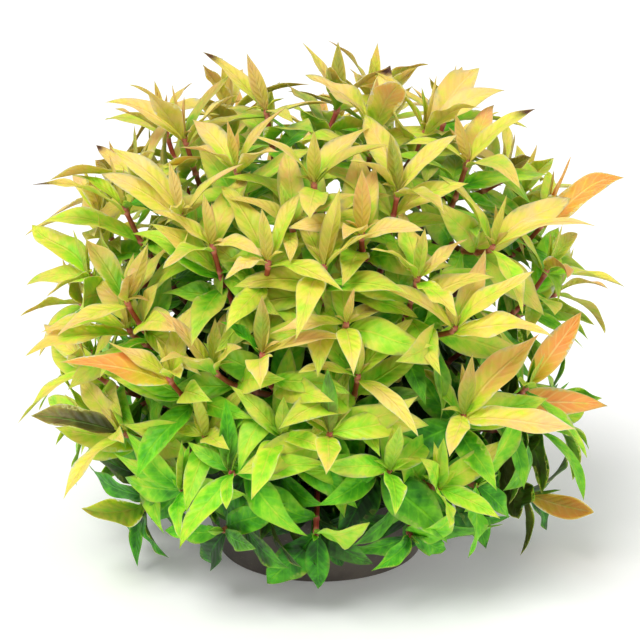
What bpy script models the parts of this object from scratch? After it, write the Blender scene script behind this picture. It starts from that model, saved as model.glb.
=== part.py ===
# A bushy red-stemmed water plant in a plain round pot.
# Metres, +Z up, the front at -Y. The origin is the centre of the pot's flat base.
import itertools
import math
import random

import bmesh
import bpy
from mathutils import Quaternion, Vector
from mathutils.bvhtree import BVHTree

MM = 0.001
GAP = 0.3 * MM
UP = Vector((0, 0, 1))

# Pot and soil
POT_HEIGHT = 50 * MM
POT_BASE_RADIUS = 50 * MM
POT_WALL_RADIUS = 62.5 * MM
RIM_RADIUS = 66 * MM
RIM_DEPTH = 9 * MM
RIM_EDGE = 1 * MM
RIM_BEVEL = 1.5 * MM
WALL = 3.5 * MM
POT_FLOOR = 4 * MM
POT_SIDES = 22
SOIL_EDGE_HEIGHT = 45.5 * MM
SOIL_MOUND = 3 * MM
SOIL_SIDE_GAP = 1.2 * GAP
MOUND_RING = 0.5
ROOT_GAP = 1.5 * GAP

# The dome on which the shoots end: a rounded barrel about its own centre
DOME_RADIUS = 117 * MM
DOME_CENTRE = 110 * MM
DOME_ABOVE = 114 * MM
DOME_BELOW = 103 * MM
DOME_POWER = 2.5
LOWEST_APEX = 31 * MM
HIGHEST_APEX = 223 * MM
CENTRE_TOLERANCE = 1 * MM

# The front shoots as they are seen from in front and a little above
VIEW_ELEVATION = math.radians(18)
VIEW_DISTANCE = 1200 * MM
VIEW_MIDDLE = 110.5 * MM
VIEW_SEARCH = (-160 * MM, 120 * MM)
VIEW_STEP = 1 * MM
AHEAD = Vector((0, math.cos(VIEW_ELEVATION), -math.sin(VIEW_ELEVATION)))
RISE = Vector((0, math.sin(VIEW_ELEVATION), math.cos(VIEW_ELEVATION)))
EYE = RISE * VIEW_MIDDLE - AHEAD * VIEW_DISTANCE
# Each is where its top leaves meet (across, up, depth behind the dome's face, roll in degrees), then
# where the tips of its leaves and its upright bud are seen (across, up), in millimetres and chosen by eye
FRONT_TIPS = (
    ((-68, 203, 0, -35), (-108, 221), (-95, 230), (-40, 224), (-45, 233)),
    ((-92, 180, 16, 30), (-92, 209), (-112, 198)),
    ((-70, 165, 0, -35), (-110, 184), (-106, 198), (-38, 190)),
    ((-42, 188, 0, 60), (-46, 212), (-20, 195)),
    ((-27, 216, 0, 0), (-58, 246), (-37, 245), (6, 220), (-13, 210)),
    ((9, 219, 6, 20), (9, 251), (5, 237)),
    ((-3, 180, 0, 0), (-33, 203), (26, 208), (35, 198)),
    ((27, 208, 0, -5), (28, 233), (40, 230), (35, 239)),
    ((39, 176, 0, 0), (35, 205)),
    ((53, 207, 0, -35), (22, 231), (80, 237), (93, 227), (81, 218)),
    ((74, 191, 0, -35), (67, 215), (87, 219), (108, 217), (42, 198)),
    ((93, 184, 16, 30), (97, 205), (105, 192), (111, 180)),
    ((87, 149, 0, -53), (59, 184), (127, 173), (139, 159)),
    ((112, 161, 8, 0), (125, 194), (153, 183)),
    ((114, 137, 14, 5), (129, 155), (124, 133), (118, 118)),
    ((-98, 168, 6, 20), (-145, 178), (-125, 184), (-140, 161), (-80, 163)),
    ((-116, 134, 0, 0), (-144, 158), (-148, 128), (-137, 122)),
    ((-97, 121, 0, 0), (-118, 152), (-85, 150)),
    ((-54, 149, 0, 0), (-95, 154), (-29, 143)),
    ((-26, 141, 0, 70), (-29, 168)),
    ((-14, 158, 8, 0), (-20, 181)),
    ((2, 139, 0, -18), (10, 178), (15, 168), (-10, 163)),
    ((21, 155, 4, 60), (21, 188), (52, 155)),
    ((49, 133, 0, 0), (74, 152), (25, 146)),
    ((68, 108, 0, 0), (107, 135), (112, 121), (27, 128), (83, 146), (62, 124)),
    ((13, 110, 0, 0), (36, 117), (-25, 104), (17, 128)),
    ((-29, 95, 0, 0), (-29, 124), (-50, 110), (-30, 76), (21, 99), (-52, 88)),
    ((-53, 87, 10, 0), (-82, 116), (-52, 113), (-81, 91)),
    ((-76, 83, 0, 0), (-107, 100), (-130, 90), (-112, 86)),
    ((-96, 107, 12, 38), (-148, 93), (-140, 104)),
    ((-100, 55, 0, 18), (-121, 84), (-133, 57), (-145, 63), (-129, 21)),
    ((-58, 53, 14, 0), (-63, 78), (-80, 58), (-35, 78)),
    ((-45, 35, 0, -35), (-47, 73), (-67, 50), (-47, 16), (3, 39)),
    ((-19, 53, 10, -15), (-45, 78), (-46, 52), (-18, 74)),
    ((5, 55, 0, 0), (4, 88), (-15, 70), (3, 33), (55, 58)),
    ((19, 84, 10, 30), (-11, 85), (40, 83)),
    ((-70, 26, 0, -35), (-97, 55), (-98, 32), (-69, 52)),
    ((60, 27, 0, -35), (90, 50), (62, 53), (73, 22)),
    ((35, 36, 0, 0), (58, 52), (40, 60), (38, 13), (0, 38)),
    ((72, 64, 0, 0), (76, 95), (50, 87), (110, 104), (65, 43), (128, 56)),
    ((104, 78, 0, 0), (131, 115), (145, 68)),
    ((-49, 5, 0, -18), (-78, 5), (-17, 18), (-32, -4), (-53, -12)),
    ((-2, 3, 0, -35), (-27, -22), (-12, -17), (11, -13), (-1, -24)),
    ((46, 2, 0, -18), (10, -2), (67, 14), (29, -16), (63, -4)),
    ((79, 28, 6, -18), (75, -9), (84, -5), (95, 11)),
    ((105, 23, 12, -20), (124, 43), (104, 37), (142, 10), (101, -8)),
    ((-91, 15, 10, -5), (-121, 15), (-94, 4), (-76, -9)),
)

# The shoots at the sides and back, which are spread as far apart as their number allows
TIP_COUNT = 83
TIP_SPACINGS = (36.45 * MM, 32.4 * MM, 27 * MM)
TIP_ROLL = 0.6
BACK_TRIES = 900

# How shoots stand: nearly upright at the top of the dome, leaning out and then hanging lower down
TOP_LEAN = 6
SIDE_LEAN = 12
HANGING_LEAN = 80
HANGING_HEIGHTS = (150 * MM, 35 * MM)

# Stems: square in section, as the plant's own are
ROOT_HALF_SIDE = 1.4 * MM
TOP_HALF_SIDE = 1.0 * MM
ROOT_CIRCLE = 54 * MM
ROOT_SPACING = 11 * MM
ROOT_ROUNDS = 60
ROOT_EYE_HEIGHT = 60 * MM
ROOT_EDGE_SLOPE = math.radians(85)
PATH_STEPS = 64
STEM_RISE = 0.38
STEM_SPREAD = 0.04
STEM_ARRIVAL = 0.30
OVER_RIM_RISE = 28 * MM
OVER_RIM_HEIGHTS = (90 * MM, 40 * MM)
SHOOT_CURVE = 0.33
SHOOT_RISE = 0.7
SHOOT_FOOT = 5 * MM
BOWS = [bow * MM for bow in (0, 5, -5, 10, -10, 16, -16, 24, -24)]
STEM_ROOM = 1.6
STEM_SKIN = 1.15
FORK_REACH = 62 * MM
FORK_RING = 2
NODE_HEIGHT = 2.3 * MM
LOWER_PAIR_DROP = 19 * MM
FORK_DROP = 42 * MM
BUD_WAIST = 5 * MM
BUD_HALF_WIDTH = 1.9 * MM
BUD_FLATNESS = 0.55
BUD_LENGTHS = (16 * MM, 26 * MM)
BUD_HEIGHTS = (60 * MM, 180 * MM)
BUD_FOLLOWS_STEM = 3
BUD_RISE = 15
BUD_TILT = 0.45
BUD_DEPTHS = range(-36, 17, 2)
LONG_BUD = 34 * MM
LONG_BUD_COST = 100
SQUARE = ((-1, -1), (1, -1), (1, 1), (-1, 1))

# Leaves: the top pair, the next and the lowest differ in their angle from the stem and their size
LEAF_LENGTH = 42 * MM
PAIR_ANGLES = (46, 64, 78)
PAIR_SIZES = (0.80, 1.0, 0.98)
PAIR_SIDES = ((1, 3), (0, 2), (1, 3))
LEAF_HEIGHTS = (50 * MM, 200 * MM)
LONGEST_LEAF = 56 * MM
SLACK = 1.03
LEAST_OUTWARD = 0.15
AIM_STRETCHES = (1.0, 0.85, 1.15, 0.72, 1.3)
STRETCH_COST = 1.5
UNAIMED_COST = 10
STRAIGHT = (0.0, 0.0, 1.0)
LEAF_THICKNESS = 1.0 * MM
WIDEST_AT = 0.42
FOLD = 0.26
FLOOR_CLEARANCE = 1.5 * MM
SKIN = 0.35 * MM
OTHERS_START = 0.03
OTHERS_GROWTH = 1.06
OWN_START = 0.01
OWN_GROWTH = 1.02
SEED = 7

# Colours: green leaves low down, yellow ones at the top, on red-brown stems
POT_COLOUR = (0.10, 0.075, 0.06)
SOIL_COLOUR = (0.55, 0.47, 0.36)
STEM_COLOUR = (0.36, 0.10, 0.06)
LOW_LEAF_COLOUR = (0.14, 0.42, 0.03)
HIGH_LEAF_COLOUR = (0.80, 0.60, 0.20)
LEAF_ROUGHNESS = 0.45


def share(value, start, end):
    """How far a value is on the way from a start to an end, from 0 to 1."""
    return min(1.0, max(0.0, (value - start) / (end - start)))


def material(name, colour, roughness):
    """A Principled material for one sub-part."""
    made = bpy.data.materials.new(name)
    made.use_nodes = True
    shader = made.node_tree.nodes["Principled BSDF"]
    shader.inputs["Base Color"].default_value = (*colour, 1)
    shader.inputs["Roughness"].default_value = roughness
    shader.inputs["Metallic"].default_value = 0.0
    return made


def add_object(name, mesh, *finishes):
    """Links a mesh to the scene under its node's name."""
    made = bpy.data.objects.new(name, mesh)
    for finish in finishes:
        made.data.materials.append(finish)
    bpy.context.scene.collection.objects.link(made)
    return made


def turned(name, profile, finish):
    """A solid turned about Z from a profile of (radius, height), which starts and ends on the axis."""
    bm = bmesh.new()
    rings = []
    for radius, height in profile:
        if radius == 0:
            rings.append([bm.verts.new((0, 0, height))])
            continue
        turns = [2 * math.pi * i / POT_SIDES for i in range(POT_SIDES)]
        rings.append([bm.verts.new((radius * math.cos(a), radius * math.sin(a), height)) for a in turns])
    for low, high in zip(rings, rings[1:]):
        for i in range(POT_SIDES):
            j = (i + 1) % POT_SIDES
            corners = [low[i % len(low)], low[j % len(low)], high[j % len(high)], high[i % len(high)]]
            bm.faces.new(list(dict.fromkeys(corners)))
    bmesh.ops.recalc_face_normals(bm, faces=bm.faces)
    mesh = bpy.data.meshes.new(name)
    bm.to_mesh(mesh)
    bm.free()
    mesh.shade_smooth()
    mesh.set_sharp_from_angle(angle=math.radians(30))
    return add_object(name, mesh, finish)


def soil_height(radius):
    """The height of the soil's low mound at a distance from the pot's axis."""
    return SOIL_EDGE_HEIGHT + SOIL_MOUND * (1 - (radius / POT_WALL_RADIUS) ** 2)


def make_pot():
    """The pot: a tapered wall with a plain band for its rim."""
    inside = POT_WALL_RADIUS - WALL
    under_rim = POT_HEIGHT - RIM_DEPTH
    return turned(
        "pot",
        (
            (0, 0),
            (POT_BASE_RADIUS, 0),
            (POT_WALL_RADIUS, under_rim),
            (RIM_RADIUS, under_rim + RIM_EDGE),
            (RIM_RADIUS, POT_HEIGHT - RIM_EDGE),
            (RIM_RADIUS - RIM_BEVEL, POT_HEIGHT),
            (inside, POT_HEIGHT),
            (POT_BASE_RADIUS - WALL, POT_FLOOR),
            (0, POT_FLOOR),
        ),
        material("pot_clay", POT_COLOUR, 0.6),
    )


def make_soil():
    """The soil that fills the pot, a little mounded."""
    base = POT_FLOOR + GAP
    inside = POT_WALL_RADIUS - WALL
    taper = (inside - POT_BASE_RADIUS + WALL) / (POT_HEIGHT - POT_FLOOR)
    edge = inside - taper * (POT_HEIGHT - SOIL_EDGE_HEIGHT) - SOIL_SIDE_GAP
    bottom = POT_BASE_RADIUS - WALL - GAP
    return turned(
        "soil",
        (
            (0, base),
            (bottom, base),
            (edge, SOIL_EDGE_HEIGHT),
            (MOUND_RING * edge, soil_height(MOUND_RING * edge)),
            (0, soil_height(0)),
        ),
        material("soil_grit", SOIL_COLOUR, 0.95),
    )


def on_dome(x, y, z):
    """Less than 1 inside the dome, 1 on it, more outside."""
    half = DOME_ABOVE if z > DOME_CENTRE else DOME_BELOW
    return (math.hypot(x, y) / DOME_RADIUS) ** DOME_POWER + (abs(z - DOME_CENTRE) / half) ** DOME_POWER


def view_ray(across, up):
    """The direction from the eye to what is seen at (across, up)."""
    return (Vector((across * MM, 0, 0)) + RISE * up * MM - EYE).normalized()


def front_apex(across, up, behind):
    """Where the view's ray through (across, up) first meets the dome, moved behind its face."""
    ray = view_ray(across, up)
    near, far = (round(end / VIEW_STEP) for end in VIEW_SEARCH)
    steps = [VIEW_DISTANCE + i * VIEW_STEP for i in range(near, far)]
    met = next((s for s in steps if on_dome(*(EYE + ray * s)) < 1), VIEW_DISTANCE)
    apex = EYE + ray * (met + behind * MM)
    if apex.z < LOWEST_APEX:
        apex = EYE + ray * ((LOWEST_APEX - EYE.z) / ray.z)
    if apex.z > HIGHEST_APEX:
        apex = EYE + ray * ((HIGHEST_APEX - EYE.z) / ray.z)
    return apex


def back_apex(index):
    """The sides and back are filled along a golden spiral over the dome."""
    turn = index * math.pi * (3 - math.sqrt(5))
    share = (index + 0.5) / BACK_TRIES
    z = HIGHEST_APEX - share * (HIGHEST_APEX - LOWEST_APEX)
    half = DOME_ABOVE if z > DOME_CENTRE else DOME_BELOW
    left = max(0.0, 1 - (abs(z - DOME_CENTRE) / half) ** DOME_POWER)
    radius = DOME_RADIUS * left ** (1 / DOME_POWER)
    return Vector((radius * math.cos(turn), radius * math.sin(turn), z))


def bud_aim(across, up, aims):
    """The aim most nearly straight above a tip, which is its upright bud's, or None."""
    above = [(abs(x - across) / (y - up), (x, y)) for x, y in aims if y - up > BUD_RISE]
    tilt, aim = min(above, default=(BUD_TILT, None))
    return aim if tilt < BUD_TILT else None


class Tip:
    """A shoot's end: where its top leaves meet, its roll, and the rays through its leaves' and bud's tips."""

    def __init__(self, apex, roll, aims=(), bud=None):
        self.apex = apex
        self.roll = roll
        self.aims = [view_ray(*aim) for aim in aims if aim != bud]
        self.bud_ray = view_ray(*bud) if bud else None


def all_tips(rng):
    """The front shoots as chosen, then the sides and back, well apart."""
    tips = []
    for (across, up, behind, roll), *aims in FRONT_TIPS:
        bud = bud_aim(across, up, aims)
        tips.append(Tip(front_apex(across, up, behind), math.radians(roll), aims, bud))
    tried = list(range(BACK_TRIES))
    rng.shuffle(tried)
    for spacing in TIP_SPACINGS:
        for index in tried:
            if len(tips) == TIP_COUNT:
                return tips
            apex = back_apex(index)
            if all((apex - other.apex).length > spacing for other in tips):
                tips.append(Tip(apex, rng.uniform(-TIP_ROLL, TIP_ROLL)))
    return tips


def paired(tips):
    """Two neighbouring tips share a root: (main, side) by index, the higher one the main stem."""
    free = set(range(len(tips)))
    order = sorted(free, key=lambda i: (-round(tips[i].apex.z / MM), i))
    plants = []
    for main in order:
        if main not in free:
            continue
        free.discard(main)
        apex = tips[main].apex
        near = [i for i in free if (tips[i].apex - apex).length < FORK_REACH]
        side = min(near, key=lambda i: (tips[i].apex - apex).length, default=None)
        if side is not None:
            free.discard(side)
        plants.append((main, side))
    return plants


def outward(point):
    """The level direction from the pot's axis to a point."""
    flat = Vector((point.x, point.y, 0))
    return flat.normalized() if flat.length > CENTRE_TOLERANCE else Vector((0, -1, 0))


def growth_direction(apex):
    """Shoots stand nearly upright at the top of the dome and lean out, then hang, lower down."""
    low = share(apex.z, *HANGING_HEIGHTS)
    out = math.hypot(apex.x, apex.y) / DOME_RADIUS
    lean = math.radians(TOP_LEAN + SIDE_LEAN * out + HANGING_LEAN * low**2)
    return (UP * math.cos(lean) + outward(apex) * math.sin(lean)).normalized()


def root_points(plants, tips):
    """Where the stems leave the soil: each below its own tips, then pushed a little apart."""
    roots = []
    for main, _ in plants:
        apex = tips[main].apex
        slope = math.atan2(math.hypot(apex.x, apex.y), apex.z - ROOT_EYE_HEIGHT)
        roots.append(outward(apex) * ROOT_CIRCLE * min(1.0, slope / ROOT_EDGE_SLOPE))
    for _ in range(ROOT_ROUNDS):
        for i, first in enumerate(roots):
            for second in roots[i + 1 :]:
                apart = second - first
                short = ROOT_SPACING - apart.length
                if short > 0:
                    push = (apart.normalized() if apart.length > 0 else Vector((1, 0, 0))) * short / 2
                    first -= push
                    second += push
        for root in roots:
            if root.length > ROOT_CIRCLE:
                root *= ROOT_CIRCLE / root.length
    return [Vector((r.x, r.y, soil_height(r.length) + ROOT_GAP)) for r in roots]


class Path:
    """A smooth run from one point and direction to another, measured back from its end."""

    def __init__(self, start, leaving, end, arriving):
        first = start + leaving
        last = end - arriving
        self.points = []
        for i in range(PATH_STEPS + 1):
            t = i / PATH_STEPS
            u = 1 - t
            self.points.append(u**3 * start + 3 * u * u * t * first + 3 * u * t * t * last + t**3 * end)
        self.points.reverse()
        self.length = sum((b - a).length for a, b in zip(self.points, self.points[1:]))

    def at(self, distance):
        """The point this far back from the end, and the direction of growth there."""
        left = distance
        for a, b in zip(self.points, self.points[1:]):
            step = (b - a).length
            if left <= step:
                return a.lerp(b, left / step), (a - b).normalized()
            left -= step
        a, b = self.points[-2:]
        return b.copy(), (a - b).normalized()


class Ring:
    """Four corners across a stem. Side 1 faces ex, side 2 ey, sides 3 and 0 their opposites."""

    def __init__(self, centre, along, ex, half):
        self.centre = centre
        self.along = along
        self.ex = (ex - along * ex.dot(along)).normalized()
        self.ey = along.cross(self.ex)
        self.half = half
        self.corners = [centre + (self.ex * a + self.ey * b) * half for a, b in SQUARE]

    def facing(self, side):
        """The direction that a side faces."""
        return (-self.ey, self.ex, self.ey, -self.ex)[side]


def half_side(distance, whole):
    """A stem's half side: slim at the top, stouter at the root."""
    return TOP_HALF_SIDE + (ROOT_HALF_SIDE - TOP_HALF_SIDE) * share(distance, 0, whole)


def bud_end(apex, lean, ray):
    """Where on its ray an aimed bud ends: most nearly along its lean, and not too long."""
    foot = EYE + ray * ray.dot(apex - EYE)
    ends = [foot + ray * depth * MM for depth in BUD_DEPTHS]

    def cost_of(end):
        chord = end - apex
        return chord.angle(lean) + max(0.0, chord.length - LONG_BUD) * LONG_BUD_COST

    return min(ends, key=cost_of)


class Branch:
    """A stem or side shoot: its rings from the bottom up, its leaf pairs, its bud and where it starts."""

    def __init__(self, path, tip, stations, pairs, last=None):
        self.tip = tip
        self.start = None
        self.pairs = {}
        top = path.at(0)[1]
        level = UP.cross(outward(path.points[0]))
        level = (level - top * level.dot(top)).normalized()
        ex = math.cos(tip.roll) * level + math.sin(tip.roll) * top.cross(level)
        rings = []
        for distance in stations:
            centre, along = path.at(distance)
            ring = Ring(centre, along, ex, half_side(distance, path.length))
            ex = ring.ex
            rings.append(ring)
        if last is not None:
            centre = rings[-1].centre.copy()
            centre.z = last
            rings[-1] = Ring(centre, UP.copy(), ex, rings[-1].half)
        self.rings = rings[::-1]
        for pair, station in enumerate(pairs):
            self.pairs[pair] = len(rings) - 1 - stations.index(station)
        apex = self.rings[-1]
        short, long = BUD_LENGTHS
        length = short + (long - short) * share(apex.centre.z, *BUD_HEIGHTS)
        self.bud = Ring(apex.centre + apex.along * BUD_WAIST, apex.along, apex.ex, BUD_HALF_WIDTH)
        for i, (a, b) in enumerate(SQUARE):
            flat = (self.bud.ex * a * BUD_FLATNESS + self.bud.ey * b) * BUD_HALF_WIDTH
            self.bud.corners[i] = self.bud.centre + flat
        lean = (apex.along * BUD_FOLLOWS_STEM + UP).normalized()
        self.bud_tip = apex.centre + lean * length
        if tip.bud_ray is not None:
            self.bud_tip = bud_end(apex.centre, lean, tip.bud_ray)


class Leaf:
    """One leaf: a thin folded blade drawn from the four corners of a stem's side."""

    def __init__(self, root, along, chord, reach, shape):
        turn, rise, scale = shape
        base = sum(root, Vector()) / 4
        chord = Quaternion(along, turn) @ chord * scale
        side = along.cross(chord).normalized()
        chord = Quaternion(side, rise) @ chord
        first = Quaternion(side, -reach.arch) @ chord
        upper = chord.cross(side).normalized()
        side = side * math.cos(reach.twist) + upper * math.sin(reach.twist)
        upper = chord.cross(side).normalized()
        waist = base + first * WIDEST_AT
        half = reach.width * 0.5 * scale
        lift = upper * (half * FOLD + LEAF_THICKNESS / 2)
        self.tip = base + chord
        self.root = root
        self.upper = upper
        self.waist = [
            waist - upper * LEAF_THICKNESS / 2,
            waist + side * half + lift,
            waist + upper * LEAF_THICKNESS / 2,
            waist - side * half + lift,
        ]

    def lowest(self):
        """The height of the leaf's lowest corner."""
        return min(point.z for point in (*self.waist, self.tip))

    def shell(self, start, grow):
        """A closed skin a little larger than the leaf, from a share of the way to its waist."""
        middle = sum(self.waist, Vector()) / 4
        waist = [middle + (p - middle) * grow for p in self.waist]
        near = [p.lerp((waist[i - 1] + waist[i]) / 2, start) for i, p in enumerate(self.root)]
        waist[0] = waist[0] - self.upper * SKIN
        waist[2] = waist[2] + self.upper * SKIN
        tip = self.tip + (self.tip - middle).normalized() * 3 * SKIN
        faces = [(3, 2, 1), (3, 1, 0)]
        for i in range(4):
            j = (i + 1) % 4
            faces += [(i, j, 4 + i), (j, 4 + j, 4 + i), (4 + i, 4 + j, 8)]
        return [*near, *waist, tip], faces


class Reach:
    """How a leaf grows: its angle from the stem, length, width, arch, droop and twist."""

    def __init__(self, pair, apex, rng):
        high = share(apex.z, *LEAF_HEIGHTS)
        self.angle = math.radians(PAIR_ANGLES[pair] + rng.uniform(-9, 9))
        self.length = LEAF_LENGTH * PAIR_SIZES[pair] * rng.uniform(0.88, 1.10) * (0.92 + 0.10 * high)
        self.slender = (0.36 - 0.03 * high) * rng.uniform(0.9, 1.12)
        self.width = self.length * self.slender
        self.droop = (0.08 + 0.10 * pair + 0.35 * (1 - high) ** 2) * rng.uniform(0.4, 1.6)
        self.arch = math.radians(rng.uniform(5, 16))
        self.twist = math.radians(rng.uniform(-14, 14))

    def chord(self, along, out):
        """From the leaf's base to its tip, where nothing says otherwise."""
        straight = along * math.cos(self.angle) + out * math.sin(self.angle)
        return (straight - UP * self.droop).normalized() * self.length

    def aimed(self, base, ray, stretch, near):
        """From the leaf's base to where its tip is seen, on the near or the far side, or None if too far."""
        foot = EYE + ray * ray.dot(base - EYE)
        off = (foot - base).length
        if off > LONGEST_LEAF:
            return None
        length = max(self.length * stretch, SLACK * off)
        return foot - base + ray * math.sqrt(length**2 - off**2) * (-1 if near else 1)


def aim_leaves(branch, reaches):
    """Gives as many aims of a tip as it can a leaf each: {(ring, side): its chords, the most usual first}."""
    ways = {}
    for n, ray in enumerate(branch.tip.aims):
        for (k, side), reach in reaches.items():
            low, high = branch.rings[k], branch.rings[k + 1]
            out = low.facing(side)
            base = (low.centre + high.centre) / 2 + out * low.half
            usual = reach.chord(low.along, out)
            found = []
            for stretch, near in itertools.product(AIM_STRETCHES, (True, False)):
                chord = reach.aimed(base, ray, stretch, near)
                if chord is not None and chord.dot(out) > LEAST_OUTWARD * chord.length:
                    cost = chord.angle(usual) + STRETCH_COST * abs(stretch - 1)
                    found.append((round(cost, 5), len(found), chord))
            if found:
                ways[n, (k, side)] = sorted(found, key=lambda one: one[:2])
    aims = range(len(branch.tip.aims))
    places = [*reaches] + [None] * (len(aims) - len(reaches))

    def cost_of(order):
        return sum(ways[pair][0][0] if pair in ways else UNAIMED_COST for pair in zip(aims, order))

    best = min(itertools.permutations(places, len(aims)), key=cost_of)
    chosen = {place: ways[n, place] for n, place in zip(aims, best) if (n, place) in ways}
    return {place: [chord for _, _, chord in found] for place, found in chosen.items()}


def shapes_to_try():
    """Turns, rises and scales of a leaf, the least changed first."""
    tries = []
    for azimuth in (0, 9, -9, 18, -18, 28, -28, 38, -38):
        for rise in (0, -9, 9, -18, 18, 27):
            for scale in (1.0, 0.9, 0.78, 0.64):
                cost = abs(azimuth) / 18 + abs(rise) / 14 + (1 - scale) * 7
                tries.append((cost, (math.radians(azimuth), math.radians(rise), scale)))
    return [shape for _, shape in sorted(tries)]


def tube_skin(branch, grow):
    """The skin of a branch, a little larger than it is."""
    rings = [[r.centre + (p - r.centre) * grow for p in r.corners] for r in (*branch.rings, branch.bud)]
    if branch.start:
        rings.insert(0, matched(branch.start, rings[0]))
    points = [point for ring in rings for point in ring]
    faces = []
    for k in range(0, len(points) - 4, 4):
        for i in range(4):
            j = (i + 1) % 4
            faces += [(k + i, k + j, k + 4 + j), (k + i, k + 4 + j, k + 4 + i)]
    last = len(points) - 4
    faces += [(last + i, last + (i + 1) % 4, len(points)) for i in range(4)]
    return points + [branch.bud_tip], faces


def matched(loop, ring):
    """The loop's four corners in the order that turns least towards the ring's."""
    turns = [loop[k:] + loop[:k] for k in range(4)]
    return min(turns, key=lambda turn: sum((a - b).length for a, b in zip(turn, ring)))


class Crowd:
    """Everything placed so far, to keep new leaves clear of it."""

    def __init__(self):
        self.points = []
        self.faces = []
        self.owners = []
        self.tree = None

    def add(self, points, faces, owner):
        start = len(self.points)
        self.points += points
        self.faces += [tuple(start + i for i in face) for face in faces]
        self.owners += [owner] * len(faces)
        self.tree = None

    def meets(self, points, faces, besides=None):
        """Whether a skin cuts anything placed, besides what one owner has."""
        if self.tree is None:
            self.tree = BVHTree.FromPolygons(self.points, self.faces, all_triangles=True)
        found = self.tree.overlap(BVHTree.FromPolygons(points, faces, all_triangles=True))
        return any(besides is None or self.owners[i] != besides for i, _ in found)


def sideways(direction, out):
    """Level, and square to a direction's course outwards."""
    level = direction.cross(out)
    return level.normalized() if level.length > 1e-6 else Vector((1, 0, 0))


def main_stem(root, tip, forks, bow):
    """A stem from the soil to its apex, bent a little sideways by its bow."""
    apex = tip.apex
    out = outward(apex)
    span = (apex - root).length
    rise = STEM_RISE * span + OVER_RIM_RISE * share(apex.z, *OVER_RIM_HEIGHTS)
    across = sideways(UP, out) * bow
    leaving = UP * rise + (out * STEM_SPREAD * span + across)
    path = Path(root, leaving, apex, growth_direction(apex) * STEM_ARRIVAL * span - across)
    stations = [0, NODE_HEIGHT, 2 * NODE_HEIGHT, LOWER_PAIR_DROP, LOWER_PAIR_DROP + NODE_HEIGHT]
    if forks:
        fork = max(LOWER_PAIR_DROP + 3 * NODE_HEIGHT, min(FORK_DROP, 0.5 * path.length))
        stations += [fork, fork + NODE_HEIGHT]
    else:
        stations.append((2 * stations[-1] + path.length) / 3)
    stations += [(stations[-1] + path.length) / 2, path.length]
    pairs = (NODE_HEIGHT, 2 * NODE_HEIGHT, LOWER_PAIR_DROP + NODE_HEIGHT)
    return Branch(path, tip, stations, pairs, root.z)


def side_shoot(stem, tip, side, bow):
    """A shoot that leaves the stem by one side of its fork."""
    apex = tip.apex
    low, high = stem.rings[FORK_RING], stem.rings[FORK_RING + 1]
    face = low.facing(side)
    start = (low.centre + high.centre) / 2 + face * low.half
    span = (apex - start).length
    across = sideways(apex - start, outward(apex)) * bow
    leaving = (face + low.along * SHOOT_RISE).normalized() * SHOOT_CURVE * span + across
    path = Path(start, leaving, apex, growth_direction(apex) * SHOOT_CURVE * span - across)
    first = path.length - SHOOT_FOOT
    stations = [0, NODE_HEIGHT, 2 * NODE_HEIGHT, (first + 2 * NODE_HEIGHT) / 2, first]
    shoot = Branch(path, tip, stations, (NODE_HEIGHT, 2 * NODE_HEIGHT))
    shoot.fork = (FORK_RING, side)
    after = (side + 1) % 4
    shoot.start = [low.corners[side], low.corners[after], high.corners[after], high.corners[side]]
    return shoot


def grown(plants, tips, roots, crowd):
    """Every plant's branches, each bent as little as keeps it clear of what stands already."""
    all_branches = []
    for plant, ((main, side), root) in enumerate(zip(plants, roots)):
        tried = [main_stem(root, tips[main], side is not None, bow) for bow in BOWS]
        all_branches.append([clear_one(tried, crowd, f"stem {plant + 1}")])
    for plant, (_, side) in enumerate(plants):
        if side is None:
            continue
        stem = all_branches[plant][0]
        low = stem.rings[FORK_RING]
        towards = (tips[side].apex - low.centre).normalized()
        faces = sorted(range(4), key=lambda i: -low.facing(i).dot(towards))[:2]
        tried = [side_shoot(stem, tips[side], face, bow) for face in faces for bow in BOWS]
        all_branches[plant].append(clear_one(tried, crowd, f"side shoot {plant + 1}", f"stem {plant + 1}"))
    return all_branches


def clear_one(tried, crowd, name, parent=None):
    """The first of the branches tried that meets nothing but its parent, which then joins the crowd."""
    clear = (b for b in tried if not crowd.meets(*tube_skin(b, STEM_ROOM), besides=parent))
    branch = next(clear, tried[0])
    crowd.add(*tube_skin(branch, STEM_SKIN), name)
    branch.name = name
    return branch


def place_leaves(all_branches, crowd, rng):
    """Gives each pair its two leaves, those that are aimed first, none of them through another."""
    waiting = []
    for plant, branches in enumerate(all_branches):
        for b, branch in enumerate(branches):
            reaches = {}
            for pair, k in branch.pairs.items():
                for side in PAIR_SIDES[pair]:
                    reaches[k, side] = Reach(pair, branch.tip.apex, rng)
            aimed = aim_leaves(branch, reaches)
            for (k, side), reach in reaches.items():
                low, high = branch.rings[k], branch.rings[k + 1]
                after = (side + 1) % 4
                root = [low.corners[side], low.corners[after], high.corners[after], high.corners[side]]
                chords = aimed.get((k, side))
                order = 0
                if chords is None:
                    order = 1 + len(branch.rings) - k
                    chords = [reach.chord(low.along, low.facing(side))]
                waiting.append((order, (plant, b, k, side), branch, root, low.along, chords, reach))
    waiting.sort(key=lambda one: one[:2])
    tries = shapes_to_try()
    leaves = {}
    for _, place, branch, root, along, chords, reach in waiting:
        options = [(chord, STRAIGHT) for chord in chords] + [(chords[0], shape) for shape in tries]
        for chord, shape in options:
            reach.width = chord.length * reach.slender
            leaf = Leaf(root, along, chord, reach, shape)
            if leaf.lowest() < FLOOR_CLEARANCE or crowd.meets(*leaf.shell(OTHERS_START, OTHERS_GROWTH)):
                continue
            if not crowd.meets(*leaf.shell(OWN_START, OWN_GROWTH), besides=branch.name):
                crowd.add(*leaf.shell(0.0, 1.0), "leaf")
                leaves[place] = leaf
                break
    return leaves


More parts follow.
